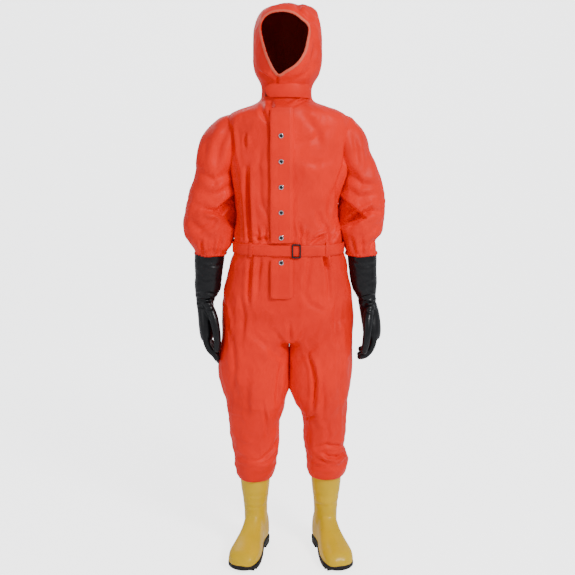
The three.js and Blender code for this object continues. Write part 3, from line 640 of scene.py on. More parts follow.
SLEEVE_FOLDS = {
    "right": [
        (-1, [(-190, 1168), (-218, 1142), (-262, 1150)], 13, 8, 0.7),
        (-1, [(-216, 1140), (-240, 1100), (-290, 1078)], 7, 9, 0.6),
        (-1, [(-188, 1392), (-214, 1340), (-222, 1280)], 8, 12, 0.5),
        (-1, [(-236, 1404), (-256, 1350), (-262, 1290)], 5, 13, 0.4),
        (-1, [(-186, 1262), (-226, 1236), (-276, 1262)], 7, 11, 0.5),
        (-1, [(-184, 1222), (-214, 1196), (-268, 1196)], 6, 10, 0.5),
        (-1, [(-272, 1050), (-270, 1022), (-268, 1008)], 9, 5, 0.6),
        (-1, [(-232, 1058), (-236, 1030), (-238, 1008)], 5, 6, 0.5),
        (-1, [(-206, 1060), (-214, 1030), (-220, 1008)], 6, 6, 0.5),
        (-1, [(-320, 1120), (-286, 1096), (-250, 1060)], 5, 12, 0.4),
        (1, [(-196, 1190), (-250, 1178), (-310, 1190)], 8, 11, 0.6),
        (1, [(-200, 1130), (-250, 1146), (-316, 1130)], 6, 11, 0.5),
        (1, [(-210, 1380), (-230, 1320), (-226, 1270)], 6, 13, 0.4),
    ],
    "left": [
        (-1, [(182, 1090), (206, 1118), (250, 1146), (276, 1140)], 14, 8, 0.7),
        (-1, [(184, 1150), (214, 1136), (250, 1146)], 7, 9, 0.6),
        (-1, [(196, 1380), (206, 1330), (210, 1286)], 8, 11, 0.5),
        (-1, [(226, 1374), (240, 1310), (236, 1250)], 5, 13, 0.4),
        (-1, [(184, 1262), (222, 1226), (268, 1222)], 8, 11, 0.5),
        (-1, [(186, 1206), (214, 1186), (270, 1196)], 6, 10, 0.5),
        (-1, [(262, 1052), (256, 1028), (250, 1008)], 7, 6, 0.5),
        (-1, [(224, 1062), (226, 1030), (228, 1008)], 5, 6, 0.5),
        (-1, [(192, 1060), (200, 1030), (206, 1008)], 6, 6, 0.5),
        (-1, [(296, 1110), (262, 1084), (222, 1052)], 6, 12, 0.4),
        (1, [(190, 1190), (240, 1178), (290, 1190)], 8, 11, 0.6),
        (1, [(190, 1130), (240, 1146), (292, 1130)], 6, 11, 0.5),
        (1, [(200, 1380), (222, 1320), (216, 1270)], 6, 13, 0.4),
    ],
}


# corners of the deep hollow at the inside of each elbow, seen from the front
HOLLOWS = {
    "right": [(-140, 1222), (-236, 1142), (-140, 1048)],
    "left": [(130, 1216), (240, 1122), (130, 1070)],
}


def hollowed(points, corners, depth=46, blur=7):
    """Sinks the front of a sleeve inside the triangle of corners."""
    inside = np.full(len(points), 1e9)
    centre = np.mean(corners, axis=0)
    for k in range(3):
        a, b = np.array(corners[k], float), np.array(corners[(k + 1) % 3], float)
        across = np.array((a[1] - b[1], b[0] - a[0])) / np.linalg.norm(b - a)
        if (centre - a) @ across < 0:
            across = -across
        inside = np.minimum(inside, (points[:, [0, 2]] - a) @ across)
    share = np.clip(inside / blur, 0, 1)
    moved = points.copy()
    moved[:, 1] += depth * share * share * (3 - 2 * share) * (points[:, 1] < -8)
    return moved


def folded(points, normal, folds):
    """Moves design points along their normals by the listed folds."""
    push = np.zeros(len(points))
    flat = points[:, [0, 2]]
    for face, path, depth, width, stand in folds:
        near = np.full(len(points), 1e9)
        along = np.zeros(len(points))
        sideways = np.zeros(len(points))
        total = sum(math.dist(a, b) for a, b in zip(path[:-1], path[1:]))
        gone = 0.0
        for a, b in zip(path[:-1], path[1:]):
            a, b = np.array(a, float), np.array(b, float)
            span = b - a
            length = np.linalg.norm(span)
            share = np.clip(((flat - a) @ span) / length**2, 0, 1)
            away = flat - (a + share[:, None] * span)
            gap = np.linalg.norm(away, axis=1)
            closer = gap < near
            near = np.where(closer, gap, near)
            along = np.where(closer, (gone + share * length) / total, along)
            turn = (span[0] * away[:, 1] - span[1] * away[:, 0]) / length
            sideways = np.where(closer, turn, sideways)
            gone += length
        fade = np.sqrt(np.clip(np.sin(np.pi * np.clip(along * 0.92 + 0.04, 0, 1)), 0, 1))
        facing = np.clip(face * normal[:, 1] * 2.2, 0, 1)
        groove = -depth * np.exp(-((near / width) ** 2))
        lift = depth * stand * (near < 6 * width)
        roll = lift * np.exp(-(((sideways - 1.9 * width) / (1.15 * width)) ** 2))
        soft = lift * 0.4 * np.exp(-(((sideways + 2.1 * width) / (1.3 * width)) ** 2))
        end = np.exp(-np.clip(near - np.abs(sideways), 0, None) ** 2 / (2 * width**2))
        push += fade * facing * (groove + (roll + soft) * end)
    return points + normal * push[:, None]


def ripple(points, normal, stretch, size, height, seed=0.0, sharp=1.6):
    """Cloth-like ridges: noise folded on itself, longer along one direction than across it."""
    out = np.empty(len(points))
    sx, sy, sz = (1 / (size * s) for s in stretch)
    for i, (x, y, z) in enumerate(points):
        warp = noise.noise(Vector((x, y, z)) * 0.006 + Vector((seed, 3.7, 1.1)))
        p = Vector((x * sx + 0.9 * warp + seed, y * sy - 0.7 * warp, z * sz + 0.6 * warp))
        out[i] = 1 - abs(noise.noise(p)) * 2.4 + 0.35 * noise.noise(p * 2.1)
    out = np.sign(out) * np.abs(out) ** sharp
    return points + normal * (height * (out - 0.45))[:, None]


def near_height(z, middle, reach):
    return np.exp(-(((z - middle) / reach) ** 2))


def shape_skin(piece, folds, zones):
    """Folds and ripples on a skin in the shared frame.
    zones gives each ripple's stretch, its size and its height at every point."""
    points, normal = design(coords(piece)), normals(piece)
    for stretch, size, height, seed in zones:
        points = ripple(points, normal, stretch, size, height(points), seed)
    set_coords(piece, place(points))
    subdivide(piece)
    points, normal = design(coords(piece)), normals(piece)
    set_coords(piece, place(folded(points, normal, folds)))


def cinch(piece):
    """Draws the waist in under the belt."""
    points = design(coords(piece))
    rows = TRUNK_ROWS
    z = points[:, 2]
    low, high, front, back, power = (np.interp(z, rows[:, 0], rows[:, i]) for i in range(1, 6))
    cx, cy, rx, ry = (low + high) / 2, (front + back) / 2, (high - low) / 2, (back - front) / 2
    dx, dy = points[:, 0] - cx, points[:, 1] - cy
    share = (np.abs(dx / rx) ** power + np.abs(dy / ry) ** power) ** (1 / power)
    hold = np.clip(1.35 - np.abs(z - (BELT_LOW + BELT_HIGH) / 2) / 16, 0, 1)
    limit = np.minimum(share, 0.992)
    scale = 1 + hold * (limit / np.maximum(share, 1e-6) - 1)
    points[:, 0], points[:, 1] = cx + dx * scale, cy + dy * scale
    set_coords(piece, place(points))


def split_skin(skin, label, material):
    """Cuts a skin into named pieces that still shade as one."""
    mesh = skin.data
    points, normal = coords(skin), normals(skin)
    groups = {}
    for face in mesh.polygons:
        groups.setdefault(label(design([face.center])[0]), []).append(tuple(face.vertices))
    out = {}
    for name, faces in groups.items():
        if name is None:
            continue
        used = sorted({v for face in faces for v in face})
        where = {v: i for i, v in enumerate(used)}
        part = mesh_object(name, points[used], [tuple(where[v] for v in face) for face in faces], material)
        part.data.normals_split_custom_set_from_vertices([tuple(n) for n in normal[used]])
        out[name] = part
    bpy.data.objects.remove(skin, do_unlink=True)
    return out


# ---------------------------------------------------------------- body of the suit
FACE_POINTS = [
    (-56, 1732), (-22, 1737), (10, 1731), (36, 1714), (57, 1692), (54, 1655), (42, 1614), (20, 1584),
    (-6, 1567),
    (-31, 1554), (-50, 1576), (-66, 1612), (-78, 1652), (-85, 1690), (-77, 1716),
]


def face_outline(count=72, grow=0.0):
    """The face opening seen from the front: broad at the brow, drawing in to a point under the chin."""
    total = len(FACE_POINTS)
    out = []
    for i in range(count):
        at_point = i * total / count
        k, t = int(at_point), at_point % 1
        a, b, c, d = (np.array(FACE_POINTS[(k + n) % total], float) for n in (-1, 0, 1, 2))
        p = 0.5 * (2 * b + (c - a) * t + (2 * a - 5 * b + 4 * c - d) * t**2 + (3 * b - a - 3 * c + d) * t**3)
        away = p - np.array((FACE_X, FACE_Z))
        out.append(tuple(p + away / np.linalg.norm(away) * grow))
    return out


def inside_outline(x, z, outline):
    inside = False
    for (ax, az), (bx, bz) in zip(outline, outline[1:] + outline[:1]):
        if (az > z) != (bz > z) and x < (bx - ax) * (z - az) / (bz - az) + ax:
            inside = not inside
    return inside


def snap_to_outline(piece, outline):
    """Moves the ragged rim of the cut face opening onto its outline."""
    work = bmesh.new()
    work.from_mesh(piece.data)
    line = [np.array(p) for p in outline]
    for vertex in work.verts:
        if not vertex.is_boundary:
            continue
        x, y, z = design([vertex.co])[0]
        if z < 1530 or y > 0:
            continue
        best = None
        for a, b in zip(line, line[1:] + line[:1]):
            span = b - a
            share = min(1, max(0, (np.array((x, z)) - a) @ span / (span @ span)))
            point = a + share * span
            gap = math.dist(point, (x, z))
            if best is None or gap < best[0]:
                best = (gap, point)
        vertex.co = at(best[1][0], y, best[1][1])
    work.to_mesh(piece.data)
    work.free()


def build_trunk():
    parts = [loft_from("trunk", TRUNK, 12, 88), loft_from("hood", HOOD, 9, 72, 2.05)]
    for name, rows in LEGS.items():
        parts.append(loft_from("leg_" + name, rows, 10, 64, 2.1))
    skin = join_remesh("skin", parts, 0.0072)
    relax(skin, 12)
    lengthwise, crosswise = (1.0, 1.0, 3.4), (2.4, 2.4, 1.0)

    def body(p):
        z = p[:, 2]
        free = np.clip((z - 300) / 60, 0, 1) * np.clip((1470 - z) / 60, 0, 1)
        calm_chest = 3.4 - 1.6 * np.clip(1 - abs(z - 1250) / 160, 0, 1)
        return free * calm_chest * np.clip(np.abs(p[:, 0] + 20) / 50, 0.25, 1)

    def ends(p):
        z = p[:, 2]
        return 4.5 * near_height(z, 320, 55) + 2.6 * near_height(z, 500, 60) + 2.4 * near_height(z, 1068, 26)

    def hood(p):
        z = p[:, 2]
        return 2.2 * np.clip((z - 1540) / 30, 0, 1) + 1.5 * near_height(z, 1505, 30)

    points = design(coords(skin))
    crown = np.clip((points[:, 2] - 1660) / 90, 0, 1)
    dip = 6 * np.exp(-(((points[:, 0] - 27) / 11) ** 2)) + 0.07 * np.clip(-points[:, 0] - 20, 0, None)
    points[:, 2] -= crown * dip
    away = points[:, 0] - 1
    reach = np.clip((points[:, 2] - 530) / 40, 0, 1) * np.clip((752 - points[:, 2]) / 22, 0, 1)
    close = 8.5 * reach * np.exp(-(((np.abs(away) - 12) / 26) ** 2))
    points[:, 0] -= np.sign(away) * close * (np.abs(away) > 6)
    set_coords(skin, place(points))
    shape_skin(skin, TRUNK_FOLDS, [
        (lengthwise, 62, body, 1.3),
        (crosswise, 30, ends, 5.1),
        ((1.3, 1.3, 1.6), 56, hood, 8.4),
    ])
    cinch(skin)
    points, normal = design(coords(skin)), normals(skin)
    z = points[:, 2]
    fine = 0.9 * np.clip((z - 280) / 40, 0, 1) * np.clip(abs(z - 1027) / 20 - 1, 0, 1)
    set_coords(skin, place(ripple(points, normal, (1, 1, 1.7), 26, fine, 11.0, 1.2)))
    return skin


def trunk_label(p):
    x, y, z = p
    if z < 300:
        leg = "right" if x < 0 else "left"
        middle = LEGS[leg][-1]
        if z < middle[0] + 6:
            cx = (middle[1] + middle[2]) / 2
            if math.hypot((x - cx) / 40, (y - 20) / 46) < 1:
                return None
    if z > 1478:
        if y < -20 and inside_outline(x, z, OUTLINE):
            return None
        return "hood_shell"
    if z > 1027:
        if y > 12:
            return "back_panel"
        return "front_panel_right" if x < -4 else "front_panel_left"
    side = "right" if x < 0 else "left"
    return ("seat_" if z > 590 else "lower_leg_") + side


OUTLINE = face_outline()
skin = build_trunk()


def tree_of(piece):
    mesh = piece.data
    corners = [v.co.copy() for v in mesh.vertices]
    return BVHTree.FromPolygons(corners, [tuple(f.vertices) for f in mesh.polygons])


skin_tree = tree_of(skin)
parts = split_skin(skin, trunk_label, M_FABRIC)


def front_of(x, z):
    """The point and normal of the skin seen from the front at x and z."""
    hit = skin_tree.ray_cast(at(x, -400, z), Vector((0, 1, 0)))
    if hit[0] is None:
        return at(x, -100, z), Vector((0, -1, 0))
    return hit[0], hit[1]


def mount_chest(parts):
    for name in ("front_panel_right", "front_panel_left", "back_panel"):
        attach(parts[name], "torso")
    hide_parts("torso_front_right")
    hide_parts("torso_front_left")
    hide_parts("torso_back")


def mount_hood(hood):
    """Trims the face opening and gives the hood an inner surface in a darker copy of the suit fabric, painted shade
    for the inside of the hood.
    """
    snap_to_outline(hood, OUTLINE)
    hood.data.materials.append(M_HOOD_INSIDE_SHADE)
    # the inner shell takes the darker fabric copy: painted shade inside the hood
    inner = hood.modifiers.new("hood_inside_shade_layer", "SOLIDIFY")
    inner.thickness = 0.0022
    inner.offset = -1
    inner.material_offset = 1
    apply_modifiers(hood)
    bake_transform(hood)
    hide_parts("hood")


def mount_leg(parts, name):
    seat = parts["seat_" + name]
    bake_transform(seat)
    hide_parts("trouser_thigh_" + name)
    shin = parts["lower_leg_" + name]
    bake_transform(shin)
    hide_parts("trouser_shin_" + name)


mount_chest(parts)
mount_hood(parts["hood_shell"])
for name, side in SIDES:
    mount_leg(parts, name)


# ---------------------------------------------------------------- sleeves
def build_sleeve(name, side):
    rows = [(z, side * outer, side * inner, y, depth) for z, outer, inner, y, depth in SLEEVES[name]]
    piece = loft_from("sleeve_" + name, rows, 5, 84, 2.15)
    trim(piece, lambda c: c.z > 1.0045)

    def long_folds(p):
        return 2.6 * np.clip((p[:, 2] - 1020) / 50, 0, 1) * np.clip((1420 - p[:, 2]) / 60, 0, 1)

    def cuff_folds(p):
        return 3.2 * near_height(p[:, 2], 1036, 26) + 3.0 * near_height(p[:, 2], 1160, 46)

    shape_skin(piece, SLEEVE_FOLDS[name], [
        ((1.2, 1.2, 2.2), 58, long_folds, 3.0 + side),
        ((1.8, 1.8, 1.0), 30, cuff_folds, 6.0 + side),
    ])
    set_coords(piece, place(hollowed(design(coords(piece)), HOLLOWS[name])))
    points, normal = design(coords(piece)), normals(piece)
    set_coords(piece, place(ripple(points, normal, (1, 1, 1.5), 24, 0.6, 14.0 + side, 1.2)))
    smooth(piece)
    piece.data.materials.append(M_FABRIC)
    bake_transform(piece)
    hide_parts("upper_sleeve_" + name, "forearm_sleeve_" + name)


def gathered_ring(name, centre, rx, ry, low, high, pleats, body, node):
    """A soft gathered band: short pleats round an elastic edge."""
    count = pleats * 8
    rings = []
    profile = [(0.0, -2.6), (0.12, 0.4), (0.34, 2.0), (0.6, 2.2), (0.84, 1.2), (1.0, -1.0), (1.06, -3.4)]
    for share, out in profile:
        ring = []
        for i in range(count):
            t = 2 * math.pi * i / count
            wave = math.sin(pleats * t + 0.8 * math.sin(3 * t)) * 1.0 + 0.5 * math.sin(2.3 * pleats * t)
            r = out + wave * (0.4 + 0.9 * math.sin(math.pi * min(1, share)))
            ring.append(at(
                centre[0] + (rx + r) * math.cos(t),
                centre[1] + (ry + r) * math.sin(t),
                low + (high - low) * share + 0.8 * math.sin(5 * t + 1),
            ))
        rings.append(ring)
    piece = stack_rings(name, rings, closed=False, material=M_TRIM)
    thicken(piece, 0.0012)
    smooth(piece)
    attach(piece, body)
    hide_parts(node)
    return piece


for name, side in SIDES:
    build_sleeve(name, side)
    outer, inside = SLEEVES[name][-1][1:3]
    gathered_ring("sleeve_gather_" + name, (side * (outer + inside) / 2, 0), 48.5, 48.5, 997, 1010, 26,
                  "forearm_" + name, "cuff_elastic_" + name)
    foot_x = -112 if side < 0 else 123
    low, high = 254 + 4 * side, 268 + 4 * side
    gathered_ring("hem_gather_" + name, (foot_x, 20), 51, 54, low, high, 30,
                  "shin_" + name, "hem_elastic_" + name)


# ---------------------------------------------------------------- gloves
# height, right edge, left edge, middle in y, half depth, seen from the front; then the fingers' paths
GLOVES = {
    "right": {
        "gauntlet": [
            (1032, -292, -206, 0, 43), (1000, -298, -203, 0, 46.5), (960, -299, -208, 0, 45),
            (938, -298, -211, 0, 43.5),
            (904, -300, -215, 0, 41), (885, -299, -218, 0, 38), (862, -297, -232, 0, 32),
            (850, -296, -238, 0, 30),
            (836, -295, -240, 0, 31), (815, -292, -238, -3, 37), (790, -290, -238, -5, 43),
            (765, -288, -238, -7, 45),
            (742, -285, -240, -8, 44), (728, -282, -243, -8, 40),
        ],
        "knuckle": (-263, -8, 742),
        "curl": [(0, 0), (1, -34), (12, -64), (32, -86), (40, -100)],
        "thumb": [(-258, -30, 846), (-240, -52, 812), (-229, -62, 768), (-226, -62, 728), (-227, -56, 704)],
        "lengths": (0.86, 1.0, 0.97, 0.80),
    },
    "left": {
        "gauntlet": [
            (1030, 188, 268, 0, 42), (1000, 185, 276, 0, 46), (952, 189, 277, 0, 44.5),
            (915, 195, 279, 0, 42),
            (885, 203, 278, 0, 39), (868, 214, 276, 0, 34), (855, 220, 277, 0, 31), (842, 222, 279, 0, 32),
            (815, 226, 287, -5, 38), (790, 230, 291, -9, 43), (768, 234, 293, -12, 45),
            (745, 237, 292, -14, 44),
            (732, 241, 289, -14, 40),
        ],
        "knuckle": (266, -14, 744),
        "curl": [(0, 0), (0, -34), (9, -62), (26, -82), (40, -86)],
        "thumb": [(256, -30, 842), (248, -58, 806), (245, -72, 768), (241, -74, 728), (236, -68, 702)],
        "lengths": (0.9, 1.0, 0.97, 0.84),
    },
}


def bead_chain(points, radii, turns=14, between=5):
    """A closed, round-ended tube through points, as one loft of rings."""
    path = [Vector(p) for p in points]
    line, size = [], []
    for i in range(len(path) - 1):
        before = path[i - 1] if i else path[i] * 2 - path[i + 1]
        after = path[i + 2] if i + 2 < len(path) else path[i + 1] * 2 - path[i]
        for k in range(between):
            t = k / between
            a, b = path[i], path[i + 1]
            line.append(0.5 * (2 * a + (b - before) * t + (2 * before - 5 * a + 4 * b - after) * t**2
                               + (3 * a - before - 3 * b + after) * t**3))
            size.append(radii[i] + (radii[i + 1] - radii[i]) * t)
    line.append(path[-1])
    size.append(radii[-1])
    ends = []
    for share in (0.35, 0.66, 0.87, 0.97):
        ends.append((line[-1] + (path[-1] - line[-2]).normalized() * radii[-1] * share,
                     radii[-1] * math.sqrt(1 - share**2)))
    for point, radius in ends:
        line.append(point)
        size.append(radius)
    rings = []
    side = Vector((0, 1, 0))
    for i, point in enumerate(line):
        ahead = (line[min(i + 1, len(line) - 1)] - line[max(i - 1, 0)]).normalized()
        a = (side - ahead * side.dot(ahead)).normalized()
        b = ahead.cross(a)
        rings.append([at(*(point + (a * math.cos(t) + b * math.sin(t)) * size[i]))
                      for t in (2 * math.pi * k / turns for k in range(turns))])
    return rings


def build_glove(name, side):
    data = GLOVES[name]
    hand = loft_from("glove_" + name, data["gauntlet"], 5, 56, 2.3)
    pieces = [hand]
    x, y, z = data["knuckle"]
    for i, (row, share) in enumerate(zip((-1.5, -0.5, 0.5, 1.5), data["lengths"])):
        fan = 1.6 * row
        path = [(x - side * dx * share, y + 21.5 * row + fan * k * 0.5, z + 14 + dz * share)
                for k, (dx, dz) in enumerate(data["curl"])]
        path.insert(0, (x, y + 20 * row, z + 34))
        radii = [10, 12.2, 12.0, 11.4, 10.8, 10.0]
        pieces.append(stack_rings(f"finger_{i}", bead_chain(path, radii)))
    pieces.append(stack_rings("thumb", bead_chain(data["thumb"], [15, 15.5, 13.6, 12.4, 11.4])))
    glove = join_remesh("rubber_glove_" + name, pieces, 0.0028)
    relax(glove, 9)
    points, normal = design(coords(glove)), normals(glove)
    z = points[:, 2]
    wrist = GLOVES[name]["gauntlet"][7][0]

    bend = 1.9 * near_height(z, wrist + 6, 20) + 0.7 * near_height(z, wrist + 70, 40) + 0.12
    points = ripple(points, normal, (2.2, 2.2, 0.9), 17, bend, 20.0 + side, 1.1)
    set_coords(glove, place(points))
    points, normal = design(coords(glove)), normals(glove)
    cuts = []
    for k, dz in enumerate((26, 12, -2, -14)):
        lean = (6, -5, 7, -4)[k]
        path = [(side * 215, wrist + dz - lean), (side * 255, wrist + dz + lean), (side * 300, wrist + dz)]
        cuts.append((-1, path, (2.6, 3.6, 3.2, 2.4)[k], 3.4, 0.7))
    cuts.append((-1, [(side * 190, 985), (side * 225, 968), (side * 268, 974)], 2.0, 5, 0.6))
    points = folded(points, normal, cuts)
    set_coords(glove, place(points))
    smooth(glove)
    glove.data.materials.append(M_GLOVE)
    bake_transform(glove)
    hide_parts("glove_gauntlet_" + name, "glove_hand_" + name)


for name, side in SIDES:
    build_glove(name, side)


# ---------------------------------------------------------------- boots
# along the foot: y, middle in x, half width, underside, top
FOOT = [
    (75, 0, 15, 36, 84), (70, 0, 26, 27, 112), (56, 0, 34, 22, 132), (30, 0, 36, 22, 150),
    (0, 0, 35, 23, 158),
    (-28, 0, 35, 20, 146), (-58, 0.5, 39, 12, 116), (-90, 2, 45, 9, 92), (-125, 3, 49, 9, 76),
    (-155, 3, 48, 9, 67),
    (-178, 1, 40, 10, 58), (-191, -1, 28, 13, 46), (-197, -2, 15, 18, 36),
]
SHAFT = [
    (90, -37, 37, 8, 54), (130, -37, 37, 7, 53), (165, -39, 39, 4, 52), (200, -44, 44, 2, 52),
    (235, -48, 48, 1, 52.5), (280, -50, 50, 0, 53), (334, -50.5, 50.5, 0, 53.5),
]
BOOT_PLACE = {"right": (-112, 20), "left": (123, 20)}
TOE_OUT = 12


def boot_point(name, side, x, y, z):
    """A point of the boot's own frame in the shared frame. x runs outwards."""
    turn = math.radians(TOE_OUT * side)
    ox, oy = BOOT_PLACE[name]
    x *= side
    return at(ox + x * math.cos(turn) - y * math.sin(turn), oy + x * math.sin(turn) + y * math.cos(turn), z)


def sole_half(y, grow=0.0):
    """Half the sole's width at y: broad at the ball, waisted at the arch, round at toe and heel."""
    toe, heel = -197 - grow, 75 + grow
    body = np.interp(y, [-197, -165, -125, -80, -40, 0, 40, 75], [44, 48.5, 49, 44.5, 38, 36, 36.5, 35])
    round_toe = np.clip((y - toe) / 46, 0, 1)
    round_heel = np.clip((heel - y) / 34, 0, 1)
    return (body + grow) * math.sqrt(1 - (1 - round_toe) ** 2) * math.sqrt(1 - (1 - round_heel) ** 2)


def sole_outline(grow, count=120):
    """The sole seen from below, as x and y points."""
    low, high = -197 - grow, 75 + grow
    out = []
    for i in range(count):
        t = 2 * math.pi * i / count
        y = (low + high) / 2 - math.cos(t) * (high - low) / 2
        bow = 2.0 * math.sin(math.pi * (y - low) / (high - low))
        out.append((math.copysign(sole_half(y, grow), math.sin(t)) + bow, y))
    return out


def slab(name, side, outline, levels, piece_name):
    """A rounded slab through grown copies of an outline: each level is a height and how far it is grown."""
    middle = np.mean(outline, 0)
    rings = []
    for z, grow in levels:
        ring = []
        for x, y in outline:
            away = np.array((x, y)) - middle
            away = away * (1 + grow / max(np.linalg.norm(away), 1))
            ring.append(boot_point(name, side, *(middle + away), z))
        rings.append(ring)
    if side < 0:
        rings = [list(reversed(ring)) for ring in rings]
    return stack_rings(piece_name, rings, closed=True, material=M_SOLE)


def build_boot(name, side):
    # upper
    foot_rings = []
    for y, mid, half, low, top in resample(FOOT, 6):
        ring = []
        for k in range(40):
            t = 2 * math.pi * k / 40
            c, s = math.cos(t), math.sin(t)
            power = 0.82 if s > 0 else 0.55
            x = mid + half * math.copysign(abs(c) ** (0.86 if s > 0 else 0.7), c)
            reach = top - low - 26 if s > 0 else -26
            z = (low + 26) + reach * abs(s) ** power
            ring.append(boot_point(name, side, x, y, z))
        foot_rings.append(ring)
    shaft_rings = []
    for z, a, b, y, depth in resample(SHAFT, 6):
        shaft_rings.append([
            boot_point(name, side, p[0], p[1], p[2]) for p in oval((a + b) / 2, y, z, (b - a) / 2, depth, 48)
        ])
    halves = [stack_rings("foot", foot_rings), stack_rings("shaft", shaft_rings)]
    upper = join_remesh("rubber_boot_" + name, halves, 0.0034)
    relax(upper, 10)
    trim(upper, lambda c: c.z < 0.331)
    points, normal = design(coords(upper)), normals(upper)
    creases = [
        (-1, [(-240, 168), (-100, 158), (240, 170)], 1.6, 6, 0.6),
        (-1, [(-240, 196), (0, 204), (240, 192)], 1.0, 7, 0.5),
    ]
    points = folded(points, normal, creases)
    z = points[:, 2]
    ankle = 0.9 * near_height(z, 165, 45) + 0.15
    points = ripple(points, normal, (1.6, 1.6, 0.9), 34, ankle, 30.0 + side, 1.2)
    set_coords(upper, place(points))
    # a moulded band round the foot above the sole
    points, normal = design(coords(upper)), normals(upper)
    level = points[:, 2]
    lip = 1.5 * np.clip(1 - np.abs(level - 27) / 9, 0, 1) ** 0.5 * (np.abs(normal[:, 2]) < 0.8)
    set_coords(upper, place(points + normal * lip[:, None]))
    subdivide(upper)
    upper.data.materials.append(M_BOOT)
    thicken(upper, 0.0028)
    smooth(upper)
    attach(upper, "shin_" + name)
    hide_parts("boot_upper_" + name)

    # the sole, the heel block and the cleats
    outline = sole_outline(2.0)
    sole = slab(name, side, outline, [(16.5, -9), (9.5, -1.5), (10.5, 0.3), (19, 1.2), (25, 0.2), (26.5, -3)],
                "outsole_" + name)
    raise_arch(sole, name, side)
    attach(sole, "shin_" + name)
    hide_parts("boot_sole_" + name)
    heel = [(x, y) for x, y in outline if y > -4]
    heel = slab(name, side, heel, [(0, -2.2), (1.2, -0.8), (11, -0.4), (15.5, -1.2)], "heel_block_" + name)
    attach(heel, "shin_" + name)
    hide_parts("boot_heel_" + name)
    cleats = bmesh.new()
    for k in range(9):
        y = -172 + 13 * k
        half = min(sole_half(y), sole_half(y + 10)) - 5
        for x0, x1 in ((-half, -3), (3, half)):
            add_bar(cleats, [boot_point(name, side, x, yy, z) for z in (0, 9.8) for x, yy in
                             ((x0, y), (x1, y + 3), (x1, y + 10), (x0, y + 7))])
    mesh = bpy.data.meshes.new("cleats_" + name)
    cleats.to_mesh(mesh)
    cleats.free()
    tread = new_object("cleats_" + name, mesh)
    mesh.materials.append(M_SOLE)
    edge = tread.modifiers.new("soft_edges", "BEVEL")
    edge.width = 0.0008
    edge.segments = 2
    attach(tread, "shin_" + name)


def add_bar(work, corners):
    v = [work.verts.new(c) for c in corners]
    for face in ((0, 3, 2, 1), (4, 5, 6, 7), (0, 1, 5, 4), (1, 2, 6, 5), (2, 3, 7, 6), (3, 0, 4, 7)):
        work.faces.new([v[i] for i in face])
    bmesh.ops.recalc_face_normals(work, faces=work.faces)


def raise_arch(sole, name, side):
    """Lifts the underside between the ball and the heel."""
    turn = math.radians(TOE_OUT * side)
    points = design(coords(sole))
    ox, oy = BOOT_PLACE[name]
    y = (points[:, 1] - oy) * math.cos(turn) - (points[:, 0] - ox) * math.sin(turn)
    lift = np.clip((y + 62) / 22, 0, 1)
    low = points[:, 2] < 17
    points[:, 2] += np.where(low, 5.5 * lift * lift * (3 - 2 * lift), 0)
    set_coords(sole, place(points))


for name, side in SIDES:
    build_boot(name, side)


# ---------------------------------------------------------------- belt, flap, throat tab
def trunk_ring(z, out, count=160):
    low, high, front, back, power = (np.interp(z, TRUNK_ROWS[:, 0], TRUNK_ROWS[:, i]) for i in range(1, 6))
    across, along = (high - low) / 2 + out, (back - front) / 2 + out
    return oval((low + high) / 2, (front + back) / 2, z, across, along, count, power)


def build_belt():
    profile = [(1010.6, 1.6), (1010.0, 2.8), (1010.8, 4.4), (1014, 5.0), (1027, 5.3), (1041, 5.0), (1044.2, 4.4),
               (1045.0, 2.8), (1044.2, 1.6)]
    rings = []
    for z, out in profile:
        ring = trunk_ring(1027, out)
        turns = np.arctan2(ring[:, 1], ring[:, 0])
        sag = 1.6 * np.sin(2 * turns + 0.6) + 0.9 * np.sin(5 * turns) + 0.5 * np.sin(11 * turns + 1)
        ring[:, 2] = z + sag * np.clip(np.abs(turns + math.pi / 2) * 1.6, 0.12, 1)
        rings.append(place(ring))
    belt = stack_rings("waist_band", rings, closed=False, material=M_FABRIC)
    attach(belt, "torso")
    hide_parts("waist_belt")
    ring = trunk_ring(1027, 5.25, 420)
    in_front = [k for k, p in enumerate(ring) if p[1] < 0 and -24 < p[0] < 62]
    ring = np.roll(ring, -(in_front[-1] + 1), axis=0)[: len(ring) - len(in_front)]
    for line in (1014.2, 1040.8):
        stitches("belt_stitch_%d" % line, [place([[*p[:2], line]])[0] for p in ring], "torso", 3.4)
    for name, side in SIDES:
        bars = []
        for z, out in [(1004, 0.5), (1007, 4), (1012, 7.4), (1027, 8.2), (1042, 7.4), (1048, 4), (1052, 0.5)]:
            row = []
            for j in range(7):
                x = side * 118 + (j - 3) * 2
                row.append(at(x, trunk_front(x, 1027, out + (0.5 if j in (1, 2, 3, 4, 5) else -0.2)), z))
            bars.append(row)
        vertices = [p for row in bars for p in row]
        faces = [(r * 7 + j, r * 7 + j + 1, (r + 1) * 7 + j + 1, (r + 1) * 7 + j)
                 for r in range(len(bars) - 1) for j in range(6)]
        loop = mesh_object("band_loop_" + name, vertices, faces, M_TRIM)
        thicken(loop, 0.0016)
        subdivide(loop)
        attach(loop, "torso")
        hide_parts("belt_loop_" + name)


